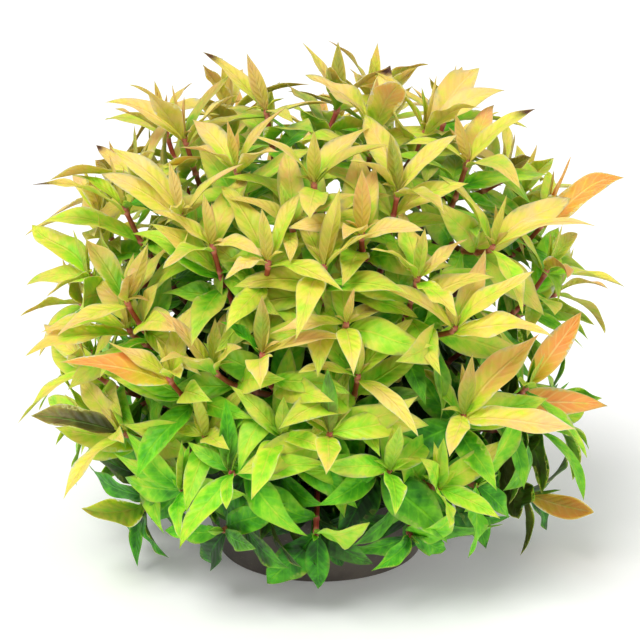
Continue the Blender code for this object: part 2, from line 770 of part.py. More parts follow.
def build_plant(name, plant, branches, leaves, stem_finish):
    """One plant's solid: rings bridged by their sides, with a leaf drawn out of each leaf's side."""
    bm = bmesh.new()
    made = []
    for b, branch in enumerate(branches):
        rings = [[bm.verts.new(p) for p in ring.corners] for ring in branch.rings]
        if b == 0:
            bm.faces.new(rings[0][::-1])
        else:
            fork, side = branch.fork
            low, high = made[0][fork], made[0][fork + 1]
            after = (side + 1) % 4
            corners = {tuple(v.co): v for v in (low[side], low[after], high[after], high[side])}
            loop = matched([Vector(co) for co in corners], [v.co for v in rings[0]])
            bridge(bm, [corners[tuple(co)] for co in loop], rings[0])
        made.append(rings)
    forks = {branch.fork for branch in branches[1:]}
    for b, (branch, rings) in enumerate(zip(branches, made)):
        for k, (low, high) in enumerate(zip(rings, rings[1:])):
            for side in range(4):
                after = (side + 1) % 4
                quad = [low[side], low[after], high[after], high[side]]
                if b == 0 and (k, side) in forks:
                    continue
                leaf = leaves.get((plant, b, k, side))
                if leaf is None:
                    bm.faces.new(quad)
                else:
                    draw_leaf(bm, quad, leaf)
        waist = [bm.verts.new(p) for p in branch.bud.corners]
        bridge(bm, rings[-1], waist)
        tip = bm.verts.new(branch.bud_tip)
        for i in range(4):
            bm.faces.new((waist[i], waist[(i + 1) % 4], tip)).material_index = 1
    mesh = bpy.data.meshes.new(name)
    bm.to_mesh(mesh)
    bm.free()
    high = share(branches[0].tip.apex.z, *LEAF_HEIGHTS)
    colour = Vector(LOW_LEAF_COLOUR).lerp(Vector(HIGH_LEAF_COLOUR), high)
    return add_object(name, mesh, stem_finish, material(f"{name}_leaf", colour, LEAF_ROUGHNESS))


def bridge(bm, low, high):
    """Four sides between two loops of four corners."""
    for i in range(4):
        j = (i + 1) % 4
        bm.faces.new((low[i], low[j], high[j], high[i]))


def draw_leaf(bm, quad, leaf):
    """Draws a leaf out of the four corners of a stem's side: bottom, right, top and left at its waist."""
    waist = [bm.verts.new(p) for p in leaf.waist]
    tip = bm.verts.new(leaf.tip)
    for i in range(4):
        j = (i + 1) % 4
        first = (quad[i], quad[j], waist[i])
        second = (quad[j], waist[j], waist[i])
        for corners in (first, second, (waist[i], waist[j], tip)):
            bm.faces.new(corners).material_index = 1


def main():
    """Builds the pot, the soil and every rooted plant."""
    for old in list(bpy.data.objects):
        bpy.data.objects.remove(old, do_unlink=True)
    rng = random.Random(SEED)
    pot = make_pot()
    soil = make_soil()
    tips = all_tips(rng)
    plants = paired(tips)
    roots = root_points(plants, tips)
    crowd = Crowd()
    for solid in (pot, soil):
        solid.data.calc_loop_triangles()
        corners = [v.co.copy() for v in solid.data.vertices]
        crowd.add(corners, [tuple(t.vertices) for t in solid.data.loop_triangles], solid.name)
    all_branches = grown(plants, tips, roots, crowd)
    leaves = place_leaves(all_branches, crowd, rng)
    stem_finish = material("stem", STEM_COLOUR, 0.5)
    for plant, branches in enumerate(all_branches):
        build_plant(f"shoot_{plant + 1:02d}", plant, branches, leaves, stem_finish)


main()
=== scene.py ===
"""The looks of a bushy, red-stemmed water plant in its plain round pot.

Every leaf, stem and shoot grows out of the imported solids: their corners say where each stem runs, where each
leaf starts, how it bends and where its tip lies. The fine leaves, veins, buds, older leaves along the stems,
grit and glazes are made here, in metres, in the same frame.
"""

import itertools
import logging
import math
import random
from dataclasses import dataclass, field
from enum import Enum
from typing import Any, ClassVar, Iterable, Optional, Union

import bmesh
import bpy
import numpy as np
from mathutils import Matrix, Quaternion, Vector


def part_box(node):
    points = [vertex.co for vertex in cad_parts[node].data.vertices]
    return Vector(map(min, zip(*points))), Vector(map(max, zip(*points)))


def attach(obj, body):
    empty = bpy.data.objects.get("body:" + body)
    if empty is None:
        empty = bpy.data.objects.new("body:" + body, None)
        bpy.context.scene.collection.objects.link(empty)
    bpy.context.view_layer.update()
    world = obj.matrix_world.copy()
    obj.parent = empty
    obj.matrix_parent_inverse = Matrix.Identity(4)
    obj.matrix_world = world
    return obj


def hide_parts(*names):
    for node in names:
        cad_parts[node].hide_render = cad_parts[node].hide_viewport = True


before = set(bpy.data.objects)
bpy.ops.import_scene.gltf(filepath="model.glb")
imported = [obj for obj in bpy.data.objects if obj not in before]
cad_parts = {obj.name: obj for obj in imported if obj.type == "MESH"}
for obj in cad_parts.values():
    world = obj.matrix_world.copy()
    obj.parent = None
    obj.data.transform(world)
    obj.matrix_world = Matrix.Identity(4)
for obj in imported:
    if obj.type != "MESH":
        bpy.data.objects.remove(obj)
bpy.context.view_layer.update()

logging.basicConfig(level=logging.INFO, format="%(message)s")
log = logging.getLogger("bush")

MM = 0.001
UP = Vector((0, 0, 1))
BODY = "root"
SEED = 20

# The view from in front and a little above; up in the picture plane is RISE, away from the camera is AHEAD
VIEW_ELEVATION = math.radians(18)
VIEW_DISTANCE = 1200 * MM
VIEW_MIDDLE = 110.5 * MM
VIEW_LENS = 135.0
AHEAD = Vector((0, math.cos(VIEW_ELEVATION), -math.sin(VIEW_ELEVATION)))
RISE = Vector((0, math.sin(VIEW_ELEVATION), math.cos(VIEW_ELEVATION)))
EYE = RISE * VIEW_MIDDLE - AHEAD * VIEW_DISTANCE

Number = Union[int, float]
Colour = tuple[float, float, float]

# How a value varies: its least and most, or one number for its spread around 0
Spread = Union[tuple[float, float], float]


class Slot(Enum):
    """The record's material slots."""

    LEAF = "leaf"
    STEM = "stem"
    POT = "pot"
    SOIL = "soil"


class Look(Enum):
    """How a leaf that stands out in the picture differs from its neighbours."""

    ORANGE = "orange"
    GOLD = "gold"
    LIME = "lime"
    PEACH = "peach"
    CREAM = "cream"
    BROWN_TIP = "brown tip"
    OLIVE = "olive"
    PURPLE = "purple"
    TEAL = "teal"
    GREEN = "green"


# Leaves that stand out, by their look: where each one's tip is seen (across, up, in millimetres)
STANDOUTS: dict[Look, tuple[tuple[int, int], ...]] = {
    Look.PEACH: (
        (-108, 221), (-37, 245), (6, 220), (22, 231), (80, 237), (-29, 143), (74, 152), (36, 117),
        (21, 99), (-82, 116), (128, 56),
    ),
    Look.CREAM: (
        (-95, 230), (-40, 224), (-110, 184), (-38, 190), (-33, 203), (93, 227), (127, 173),
        (139, 159), (52, 155), (27, 128), (-25, 104), (-30, 76), (-52, 88), (-107, 100), (65, 43),
    ),
    Look.OLIVE: (
        (-45, 233), (-92, 209), (9, 251), (5, 237), (35, 205), (97, 205), (129, 155), (-118, 152),
        (-29, 124), (76, 95),
    ),
    Look.BROWN_TIP: (
        (-112, 198), (-58, 246), (35, 239), (108, 217), (-145, 178),
    ),
    Look.GOLD: (
        (-46, 212), (28, 233), (40, 230), (67, 215), (87, 219), (21, 188), (17, 128), (40, 83),
        (110, 104),
    ),
    Look.PURPLE: ((105, 192),),
    Look.ORANGE: (
        (125, 194), (153, 183), (124, 133), (-130, 90), (131, 115), (145, 68), (142, 10),
    ),
    Look.GREEN: (
        (118, 118), (-80, 163), (-50, 110), (4, 88), (-47, 73), (-78, 5),
    ),
    Look.TEAL: ((-145, 63),),
    Look.LIME: (
        (-119, 16), (-80, 58), (-46, 52), (55, 58), (90, 50), (-140, 161), (-125, 184), (-144, 158),
    ),
}

# What each look sets on a leaf; a least tone only raises its tone
LEAST_TONE = "least tone"
LOOKS: dict[Look, dict[str, float]] = {
    Look.ORANGE: {"warm": 1.9, LEAST_TONE: 0.80},
    Look.GOLD: {"warm": 1.3, "tone": 0.76},
    Look.LIME: {"warm": 0.1, "tone": 0.68},
    Look.PEACH: {"warm": 0.90, LEAST_TONE: 0.90},
    Look.CREAM: {"warm": 0.50, LEAST_TONE: 0.88},
    Look.BROWN_TIP: {"brown": 1.0},
    Look.OLIVE: {"warm": 0.8, "tone": 0.62, "dull": 0.36},
    Look.PURPLE: {"dull": 0.95},
    Look.TEAL: {"tone": 0.08, "dull": 0.45},
    Look.GREEN: {"warm": 0.0, "tone": 0.28},
}


def share(value: float, start: float, end: float) -> float:
    """How far a value is on the way from a start to an end, from 0 to 1."""
    return min(1.0, max(0.0, (value - start) / (end - start)))


def smooth(value: float, start: float, end: float) -> float:
    """Like share, with a gentle start and end."""
    part = share(value, start, end)
    return part * part * (3 - 2 * part)


def outward(point: Vector) -> Vector:
    """The level direction from the pot's axis to a point."""
    return Vector((point.x, point.y, 0)).normalized()


def seen_at(point: Vector) -> tuple[float, float]:
    """Where a point is seen from the eye.

    Args:
        point: a place in the frame, in metres.

    Returns:
        Its places across and up in the picture plane through the pot's axis, in millimetres.
    """
    ray = point - EYE
    scale = VIEW_DISTANCE / ray.dot(AHEAD)
    return ray.x * scale / MM, (ray.dot(RISE) * scale + EYE.dot(RISE)) / MM


# Shaders


class Wire:
    """A node's output, on which Python's operators add Math nodes."""

    def __init__(self, graph: "Graph", socket: bpy.types.NodeSocket) -> None:
        """Keeps the graph that the nodes are added to and the socket that this value comes from."""
        self.graph = graph
        self.socket = socket

    def __add__(self, other: "Operand") -> "Wire":
        """This plus another."""
        return self.graph.math("ADD", self, other)

    __radd__ = __add__

    def __sub__(self, other: "Operand") -> "Wire":
        """This less another."""
        return self.graph.math("SUBTRACT", self, other)

    def __rsub__(self, other: "Operand") -> "Wire":
        """Another less this."""
        return self.graph.math("SUBTRACT", other, self)

    def __mul__(self, other: "Operand") -> "Wire":
        """This times another."""
        return self.graph.math("MULTIPLY", self, other)

    __rmul__ = __mul__

    def __pow__(self, other: "Operand") -> "Wire":
        """This to a power."""
        return self.graph.math("POWER", self, other)

    def __abs__(self) -> "Wire":
        """This without its sign."""
        return self.graph.math("ABSOLUTE", self)

    def above(self, start: float, end: float) -> "Wire":
        """A smooth step up.

        Args:
            start: where it starts to rise from 0.
            end: where it has reached 1.

        Returns:
            The step's wire.
        """
        settings = {"interpolation_type": "SMOOTHSTEP"}
        inputs = {"Value": self, "From Min": start, "From Max": end, "To Min": 0.0, "To Max": 1.0}
        return self.graph.node("ShaderNodeMapRange", settings, inputs)

    def below(self, start: float, end: float) -> "Wire":
        """1 below a start, 0 above an end, and smooth between them."""
        return 1 - self.above(start, end)


Operand = Union[Wire, Number]


class Graph:
    """One material's nodes."""

    def __init__(self, name: str) -> None:
        """Starts a material with a Principled shader.

        Args:
            name: the material's name.
        """
        self.material = bpy.data.materials.new(name)
        self.material.use_nodes = True
        self.tree = self.material.node_tree
        self.shader = self.tree.nodes["Principled BSDF"]

    def node(self, kind: str, settings: dict[str, Any], inputs: dict[Any, Any], output: Any = 0) -> Wire:
        """Adds any node.

        Args:
            kind: the node's type name.
            settings: its settings, set first; "stops" holds a ramp's (place, colour) pairs.
            inputs: values or wires for its sockets, by name or number.
            output: the socket that the wire comes from, by name or number.

        Returns:
            The output's wire.
        """
        made = self.tree.nodes.new(kind)
        for key, value in settings.items():
            if key == "stops":
                self.set_stops(made.color_ramp, value)
            else:
                setattr(made, key, value)
        for key, value in inputs.items():
            self.feed(made.inputs[key], value)
        return Wire(self, made.outputs[output])

    def set_stops(self, ramp: bpy.types.ColorRamp, stops: Iterable[tuple[float, Colour]]) -> None:
        """Gives a ramp its stops.

        Args:
            ramp: the ramp, which starts with two.
            stops: the places from 0 to 1, with their colours.
        """
        for index, (place, colour) in enumerate(stops):
            stop = ramp.elements[index] if index < 2 else ramp.elements.new(place)
            stop.position = place
            stop.color = (*colour, 1)

    def feed(self, socket: bpy.types.NodeSocket, value: Any) -> None:
        """Links a wire to a socket, or sets the socket's own value.

        Args:
            socket: the socket.
            value: a wire, a number, or a colour without its fourth number.
        """
        if isinstance(value, Wire):
            self.tree.links.new(value.socket, socket)
        elif isinstance(value, tuple) and len(value) == 3 and socket.type == "RGBA":
            socket.default_value = (*value, 1)
        else:
            socket.default_value = value

    def math(self, operation: str, first: Operand, second: Operand = 0.0) -> Wire:
        """Adds a Math node."""
        return self.node("ShaderNodeMath", {"operation": operation}, {0: first, 1: second})

    def attribute(self, name: str) -> Wire:
        """A number that the mesh holds at each corner."""
        return self.node("ShaderNodeAttribute", {"attribute_name": name}, {}, "Fac")

    def colour(self, name: str) -> Wire:
        """A colour that the mesh holds at each corner."""
        return self.node("ShaderNodeAttribute", {"attribute_name": name}, {}, "Color")

    def mix(self, factor: Operand, first: Any, second: Any, blend: str = "MIX") -> Wire:
        """Mixes two colours.

        Args:
            factor: 0 for the first, 1 for the second.
            first: a colour or a wire.
            second: a colour or a wire.
            blend: how the second is laid over the first.

        Returns:
            The mixed colour's wire.
        """
        settings = {"data_type": "RGBA", "blend_type": blend, "clamp_factor": True}
        return self.node("ShaderNodeMix", settings, {0: factor, 6: first, 7: second}, 2)

    def ramp(self, factor: Operand, stops: Iterable[tuple[float, Colour]]) -> Wire:
        """A colour from a row of stops."""
        return self.node("ShaderNodeValToRGB", {"stops": tuple(stops)}, {0: factor})

    def place(self) -> Wire:
        """The point's place in the frame, in metres."""
        return self.node("ShaderNodeTexCoord", {}, {}, "Object")

    def noise(self, scale: float, detail: float) -> Wire:
        """A soft noise from 0 to 1; scale is its lumps per metre."""
        inputs = {"Vector": self.place(), "Scale": scale, "Detail": detail, "Roughness": 0.55}
        return self.node("ShaderNodeTexNoise", {}, inputs, 0)

    def bump(self, height: Wire, depth: float) -> Wire:
        """A Bump node; depth is what a height of 1 stands for, in metres."""
        return self.node("ShaderNodeBump", {}, {"Height": height, "Distance": depth, "Strength": 1.0})

    def set_shader(self, **inputs: Any) -> None:
        """Feeds the Principled shader's sockets; underscores stand for spaces in their names."""
        for key, value in inputs.items():
            self.feed(self.shader.inputs[key.replace("_", " ")], value)


@dataclass(frozen=True)
class LeafFinish:
    """Leaf skin: green, lime, yellow and peach by the leaf's tone, with its ribs, edges and a soft glow."""

    cloud_scale: float = 60
    patch_scale: float = 170
    fine_scale: float = 600
    veins: float = 8.0
    vein_slant: float = 1.5
    vein_light: float = 0.32
    rib_light: float = 0.70
    paler: float = 0.14
    rim_strength: float = 0.50
    relief: float = 0.30 * MM
    glow: float = 0.85
    glow_depth: float = 0.5 * MM
    glow_reach: Colour = (1.0, 0.9, 0.4)
    roughness: float = 0.48
    gloss: float = 0.24
    # The darkest stops also give leaves deep inside the bush their painted shade
    tones: tuple[tuple[float, Colour], ...] = (
        (0.00, (0.006, 0.045, 0.002)),
        (0.16, (0.020, 0.180, 0.004)),
        (0.32, (0.075, 0.410, 0.008)),
        (0.47, (0.200, 0.620, 0.015)),
        (0.61, (0.410, 0.720, 0.030)),
        (0.75, (0.640, 0.710, 0.060)),
        (0.89, (0.810, 0.690, 0.130)),
        (1.00, (0.890, 0.680, 0.240)),
    )
    peach: Colour = (0.880, 0.460, 0.190)
    orange: Colour = (0.820, 0.300, 0.035)
    heart: Colour = (0.500, 0.200, 0.055)
    rim: Colour = (0.780, 0.460, 0.190)
    underside: Colour = (0.450, 0.450, 0.120)
    brown: Colour = (0.090, 0.036, 0.018)
    dull: Colour = (0.150, 0.090, 0.030)

    def material(self) -> bpy.types.Material:
        """Builds the material.

        Returns:
            The leaf material, which reads the leaves' own attributes.
        """
        g = Graph("leaf_skin")
        along, across, under = g.attribute("along"), g.attribute("across"), g.attribute("under")
        tone, warm, heart = g.attribute("tone"), g.attribute("warm"), g.attribute("heart")
        brown, dull = g.attribute("brown"), g.attribute("dull")
        off = abs(across)
        cloud = g.noise(self.cloud_scale, 3) - 0.5
        patch = g.noise(self.patch_scale, 3) - 0.5
        fine = g.noise(self.fine_scale, 2) - 0.5

        # The midrib, the side veins that run from it to the edge, and the raised skin between them
        rib = off.below(0.02, 0.10) * along.below(0.80, 1.0)
        phase = along * self.veins - off * self.vein_slant + cloud * 0.35
        wave = g.math("PINGPONG", phase, 0.5)
        vein = wave.below(0.0, 0.16) * off.below(0.60, 0.95) * off.above(0.03, 0.12)
        quilt = wave.above(0.05, 0.5) * off.below(0.75, 1.0)

        # The tone: greener at the leaf's foot, paler at its edges and tip
        ripe = tone + cloud * 0.62 + patch * 0.46 + fine * 0.06
        ripe = ripe + off.above(0.45, 1.0) * 0.05 - along.below(0.0, 0.50) * 0.12
        ripe = ripe + along.above(0.55, 1.0) * 0.05
        skin = g.ramp(ripe, self.tones)

        # The flush, peach and then orange, and the dark foot of a bud's leaf
        flush = along.above(0.15, 0.95) * 0.60 + off.above(0.45, 1.0) * 0.25 + cloud * 1.3 + patch * 0.6
        skin = g.mix(warm * (flush + 0.06), skin, self.peach)
        skin = g.mix((warm - 1.0) * (0.45 + cloud * 0.9 + along * 0.40), skin, self.orange)
        skin = g.mix(heart * along.below(0.05, 0.75) * (0.8 + patch), skin, self.heart)

        # Pale ribs, a warm rim, a duller underside and the marks of age
        light = g.ramp(ripe + self.paler, self.tones)
        skin = g.mix(rib * self.rib_light + vein * self.vein_light, skin, light)
        skin = g.mix(off.above(0.86, 1.0) * tone**3 * self.rim_strength, skin, self.rim)
        skin = g.mix(under * (0.25 + cloud * 0.3), skin, self.underside)
        burnt = brown * (along + cloud * 0.3).above(0.70, 0.90)
        skin = g.mix(burnt, skin, self.brown)
        skin = g.mix(dull * (0.8 + cloud * 0.4), skin, self.dull)

        height = quilt * 0.55 - rib * 0.8 + fine * 0.25 + patch * 0.7
        g.set_shader(Base_Color=skin, Roughness=self.roughness + fine * 0.10 + vein * 0.05)
        g.set_shader(Normal=g.bump(height, self.relief), Specular_IOR_Level=self.gloss)
        g.set_shader(Subsurface_Weight=self.glow, Subsurface_Scale=self.glow_depth)
        g.set_shader(Subsurface_Radius=self.glow_reach)
        return g.material


@dataclass(frozen=True)
class StemFinish:
    """Stem skin: red-brown near the top, dark olive lower down, crimson with a pale ring at the nodes."""

    streak_scale: float = 500
    cloud_scale: float = 90
    relief: float = 0.12 * MM
    young: Colour = (0.380, 0.110, 0.040)
    middle: Colour = (0.140, 0.034, 0.018)
    old: Colour = (0.040, 0.026, 0.009)
    crimson: Colour = (0.400, 0.022, 0.034)
    ring: Colour = (0.780, 0.260, 0.190)

    def material(self) -> bpy.types.Material:
        """Builds the material.

        Returns:
            The stems' material, which reads their age, their nodes and each one's blush.
        """
        g = Graph("stem_skin")
        age, node, blush = g.attribute("age"), g.attribute("node"), g.attribute("blush")
        streaks = g.noise(self.streak_scale, 3) - 0.5
        cloud = g.noise(self.cloud_scale, 2) - 0.5
        skin = g.ramp(age + cloud * 0.35, ((0.0, self.young), (0.45, self.middle), (1.0, self.old)))
        skin = g.mix(0.5 + streaks, skin, self.old, "SOFT_LIGHT")
        crimson = blush * (0.35 + node**0.12 * 0.65 + cloud * 0.8) * (1.0 - age * 0.6)
        skin = g.mix(crimson, skin, self.crimson)
        skin = g.mix(node * (0.75 - age * 0.45), skin, self.ring)
        g.set_shader(Base_Color=skin, Roughness=0.40 + streaks * 0.2)
        g.set_shader(Normal=g.bump(streaks + node * 0.4, self.relief))
        return g.material


@dataclass(frozen=True)
class PotFinish:
    """Plain dark clay, faintly mottled, a little paler where the edges are rubbed."""

    mottle_scale: float = 55
    speck_scale: float = 900
    relief: float = 0.20 * MM
    clay: Colour = (0.045, 0.036, 0.030)
    mottle: Colour = (0.090, 0.072, 0.058)
    worn: Colour = (0.200, 0.165, 0.135)

    def material(self) -> bpy.types.Material:
        """Builds the material.

        Returns:
            The pot's material, which reads how worn each corner is.
        """
        g = Graph("pot_clay")
        worn = g.attribute("worn")
        mottle = g.noise(self.mottle_scale, 4)
        specks = g.noise(self.speck_scale, 2)
        skin = g.mix(mottle.above(0.35, 0.70), self.clay, self.mottle)
        skin = g.mix(specks.above(0.62, 0.75) * 0.6, skin, self.worn)
        skin = g.mix(worn * (mottle * 0.9), skin, self.worn)
        g.set_shader(Base_Color=skin, Roughness=0.62 + (specks - 0.5) * 0.25)
        g.set_shader(Normal=g.bump(specks * 0.5 + mottle * 0.7, self.relief))
        return g.material


@dataclass(frozen=True)
class SoilFinish:
    """Sand and grit, each grain with a shade of its own."""

    grit_scale: float = 1500
    relief: float = 0.20 * MM
    stain: Colour = (0.30, 0.25, 0.18)

    def material(self) -> bpy.types.Material:
        """Builds the material.

        Returns:
            The sand's material, which reads each grain's shade.
        """
        g = Graph("soil_sand")
        shade = g.colour("shade")
        grit = g.noise(self.grit_scale, 2)
        skin = g.mix(grit.above(0.35, 0.75) * 0.5, shade, self.stain, "MULTIPLY")
        g.set_shader(Base_Color=skin, Roughness=0.86 + (grit - 0.5) * 0.2)
        g.set_shader(Normal=g.bump(grit, self.relief))
        return g.material


@dataclass(frozen=True)
class FloorFinish:
    """A plain pale floor, faintly lit from within."""

    grain_scale: float = 30
    colour: Colour = (0.93, 0.93, 0.92)
    fibre: Colour = (0.88, 0.87, 0.85)
    glow: Colour = (1.0, 1.0, 1.0)
    lit: float = 0.12

    def material(self) -> bpy.types.Material:
        """Builds the material.

        Returns:
            The floor's material.
        """
        g = Graph("floor_paper")
        grain = g.noise(self.grain_scale, 2)
        g.set_shader(Base_Color=g.mix(grain * 0.06, self.colour, self.fibre), Roughness=0.8)
        g.set_shader(Emission_Color=self.glow, Emission_Strength=self.lit)
        return g.material


# Meshes


@dataclass
class Surface:
    """Corners, faces and attributes gathered before they become one mesh."""

    corners: list[np.ndarray] = field(default_factory=list)
    faces: list[list[int]] = field(default_factory=list)
    values: dict[str, list[np.ndarray]] = field(default_factory=dict)
    sharp: list[np.ndarray] = field(default_factory=list)
    count: int = 0

    def add(self, corners: np.ndarray, faces: Iterable[Iterable[int]], **values: Any) -> None:
        """Adds a patch.

        Args:
            corners: its corners, one row each.
            faces: its faces, by the corners' numbers within the patch.
            values: attributes, one number or colour for the patch, or one number for each corner; "margin"
                marks the corners of its sharp edges.
        """
        size = len(corners)
        start = self.count
        self.corners.append(corners)
        self.faces += [[start + i for i in face] for face in faces]
        self.sharp.append(np.broadcast_to(np.asarray(values.pop("margin", False), bool), (size,)))
        for name, value in values.items():
            value = np.asarray(value, float)
            is_colour = value.ndim > 0 and value.shape[-1] == 3
            shape = (size, 3) if is_colour else (size,)
            self.values.setdefault(name, []).append(np.broadcast_to(value, shape))
        self.count += size

    def mesh(self, name: str, finish: bpy.types.Material) -> bpy.types.Object:
        """Turns what was gathered into an object.

        Args:
            name: the piece's name.
            finish: its material.

        Returns:
            The object, linked to the scene.
        """
        mesh = bpy.data.meshes.new(name)
        mesh.from_pydata(np.concatenate(self.corners).tolist(), [], self.faces)
        for key, parts in self.values.items():
            data = np.concatenate(parts)
            kind = "FLOAT" if data.ndim == 1 else "FLOAT_COLOR"
            if data.ndim == 2:
                data = np.concatenate([data, np.ones((len(data), 1))], axis=1)
            layer = mesh.attributes.new(key, kind, "POINT")
            layer.data.foreach_set("value" if kind == "FLOAT" else "color", data.astype(np.float32).ravel())
        mesh.shade_smooth()
        margin = np.concatenate(self.sharp)
        if margin.any():
            ends = np.empty(len(mesh.edges) * 2, np.int32)
            mesh.edges.foreach_get("vertices", ends)
            flags = margin[ends.reshape(-1, 2)].all(axis=1)
            layer = mesh.attributes.new("sharp_edge", "BOOLEAN", "EDGE")
            layer.data.foreach_set("value", flags)
        mesh.materials.append(finish)
        made = bpy.data.objects.new(name, mesh)
        bpy.context.scene.collection.objects.link(made)
        return made


def ring_faces(ids: np.ndarray, flip: bool = False) -> list[list[int]]:
    """The four-sided faces between each ring of corners and the next.

    Args:
        ids: the corners' numbers, one row for each ring.
        flip: whether the faces look the other way.

    Returns:
        The faces.
    """
    ahead = np.roll(ids, -1, axis=1)
    first, *others = (ids[:-1], ahead[:-1], ahead[1:], ids[1:])
    if flip:
        others.reverse()
    return np.stack((first, *others), axis=-1).reshape(-1, 4).tolist()


def fan(middle: int, ring: np.ndarray, flip: bool = False) -> list[list[int]]:
    """The triangles between a middle corner and a ring around it.

    Args:
        middle: the middle corner's number.
        ring: the ring's numbers.
        flip: whether the triangles look the other way.

    Returns:
        The triangles.
    """
    pairs = zip(ring.tolist(), np.roll(ring, -1).tolist())
    return [[middle, b, a] if flip else [middle, a, b] for a, b in pairs]


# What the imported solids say

Ring = set[int]
Bud = tuple[int, list[int]]


@dataclass
class Seed:
    """One leaf as its solid has it: a base on the stem, a waist where it is widest, and a tip."""

    base: Vector
    waist: Vector
    tip: Vector
    upper: Vector
    half_width: float


@dataclass
class Line:
    """A stem's or side shoot's middle line, from its foot to its apex, with its bud's tip."""

    points: list[Vector]
    halves: list[float]
    bud_tip: Vector
    bud_side: Vector
    is_side: bool = False
    run: list[Vector] = field(default_factory=list)
    widths: list[float] = field(default_factory=list)
    length: float = 0.0

    STEP = 2.0 * MM

    def settle(self) -> None:
        """Draws a smooth run through the points, at even steps, measured from the foot."""
        fine = self.curve()
        lengths = [0.0]
        for (a, _), (b, _) in zip(fine, fine[1:]):
            lengths.append(lengths[-1] + (b - a).length)
        self.length = lengths[-1]
        count = max(3, round(self.length / self.STEP))
        self.run, self.widths = [], []
        index = 0
        for k in range(count + 1):
            target = self.length * k / count
            while index < len(lengths) - 2 and lengths[index + 1] < target:
                index += 1
            part = share(target, lengths[index], lengths[index + 1])
            self.run.append(fine[index][0].lerp(fine[index + 1][0], part))
            self.widths.append(fine[index][1] * (1 - part) + fine[index + 1][1] * part)

    def curve(self) -> list[tuple[Vector, float]]:
        """Joins the points by a smooth curve.

        Returns:
            Places close together along it, each with the stem's half side there.
        """
        points = [self.points[0] * 2 - self.points[1], *self.points, self.points[-1] * 2 - self.points[-2]]
        fine: list[tuple[Vector, float]] = []
        for i in range(1, len(points) - 2):
            a, b, c, d = points[i - 1 : i + 3]
            gap = (c - b).length
            before = (c - a).normalized() * gap
            after = (d - b).normalized() * gap
            steps = max(2, round(gap / self.STEP) * 2)
            for k in range(steps):
                t = k / steps
                place = (
                    b * (2 * t**3 - 3 * t**2 + 1)
                    + before * (t**3 - 2 * t**2 + t)
                    + c * (-2 * t**3 + 3 * t**2)
                    + after * (t**3 - t**2)
                )
                fine.append((place, self.halves[i - 1] * (1 - t) + self.halves[i] * t))
        fine.append((self.points[-1], self.halves[-1]))
        return fine

    def at(self, back: float) -> tuple[Vector, Vector, float]:
        """A place on the line.

        Args:
            back: the distance back from the apex.

        Returns:
            The point, the direction of growth and the stem's half side there.
        """
        place = (1 - share(back, 0, self.length)) * (len(self.run) - 1)
        low = min(int(place), len(self.run) - 2)
        part = place - low
        along = (self.run[low + 1] - self.run[low]).normalized()
        half = self.widths[low] * (1 - part) + self.widths[low + 1] * part
        return self.run[low].lerp(self.run[low + 1], part), along, half

    def back_of(self, point: Vector) -> float:
        """How far back from the apex the line passes nearest to a point."""
        nearest = min(range(len(self.run)), key=lambda i: (self.run[i] - point).length_squared)
        return self.length * (1 - nearest / (len(self.run) - 1))


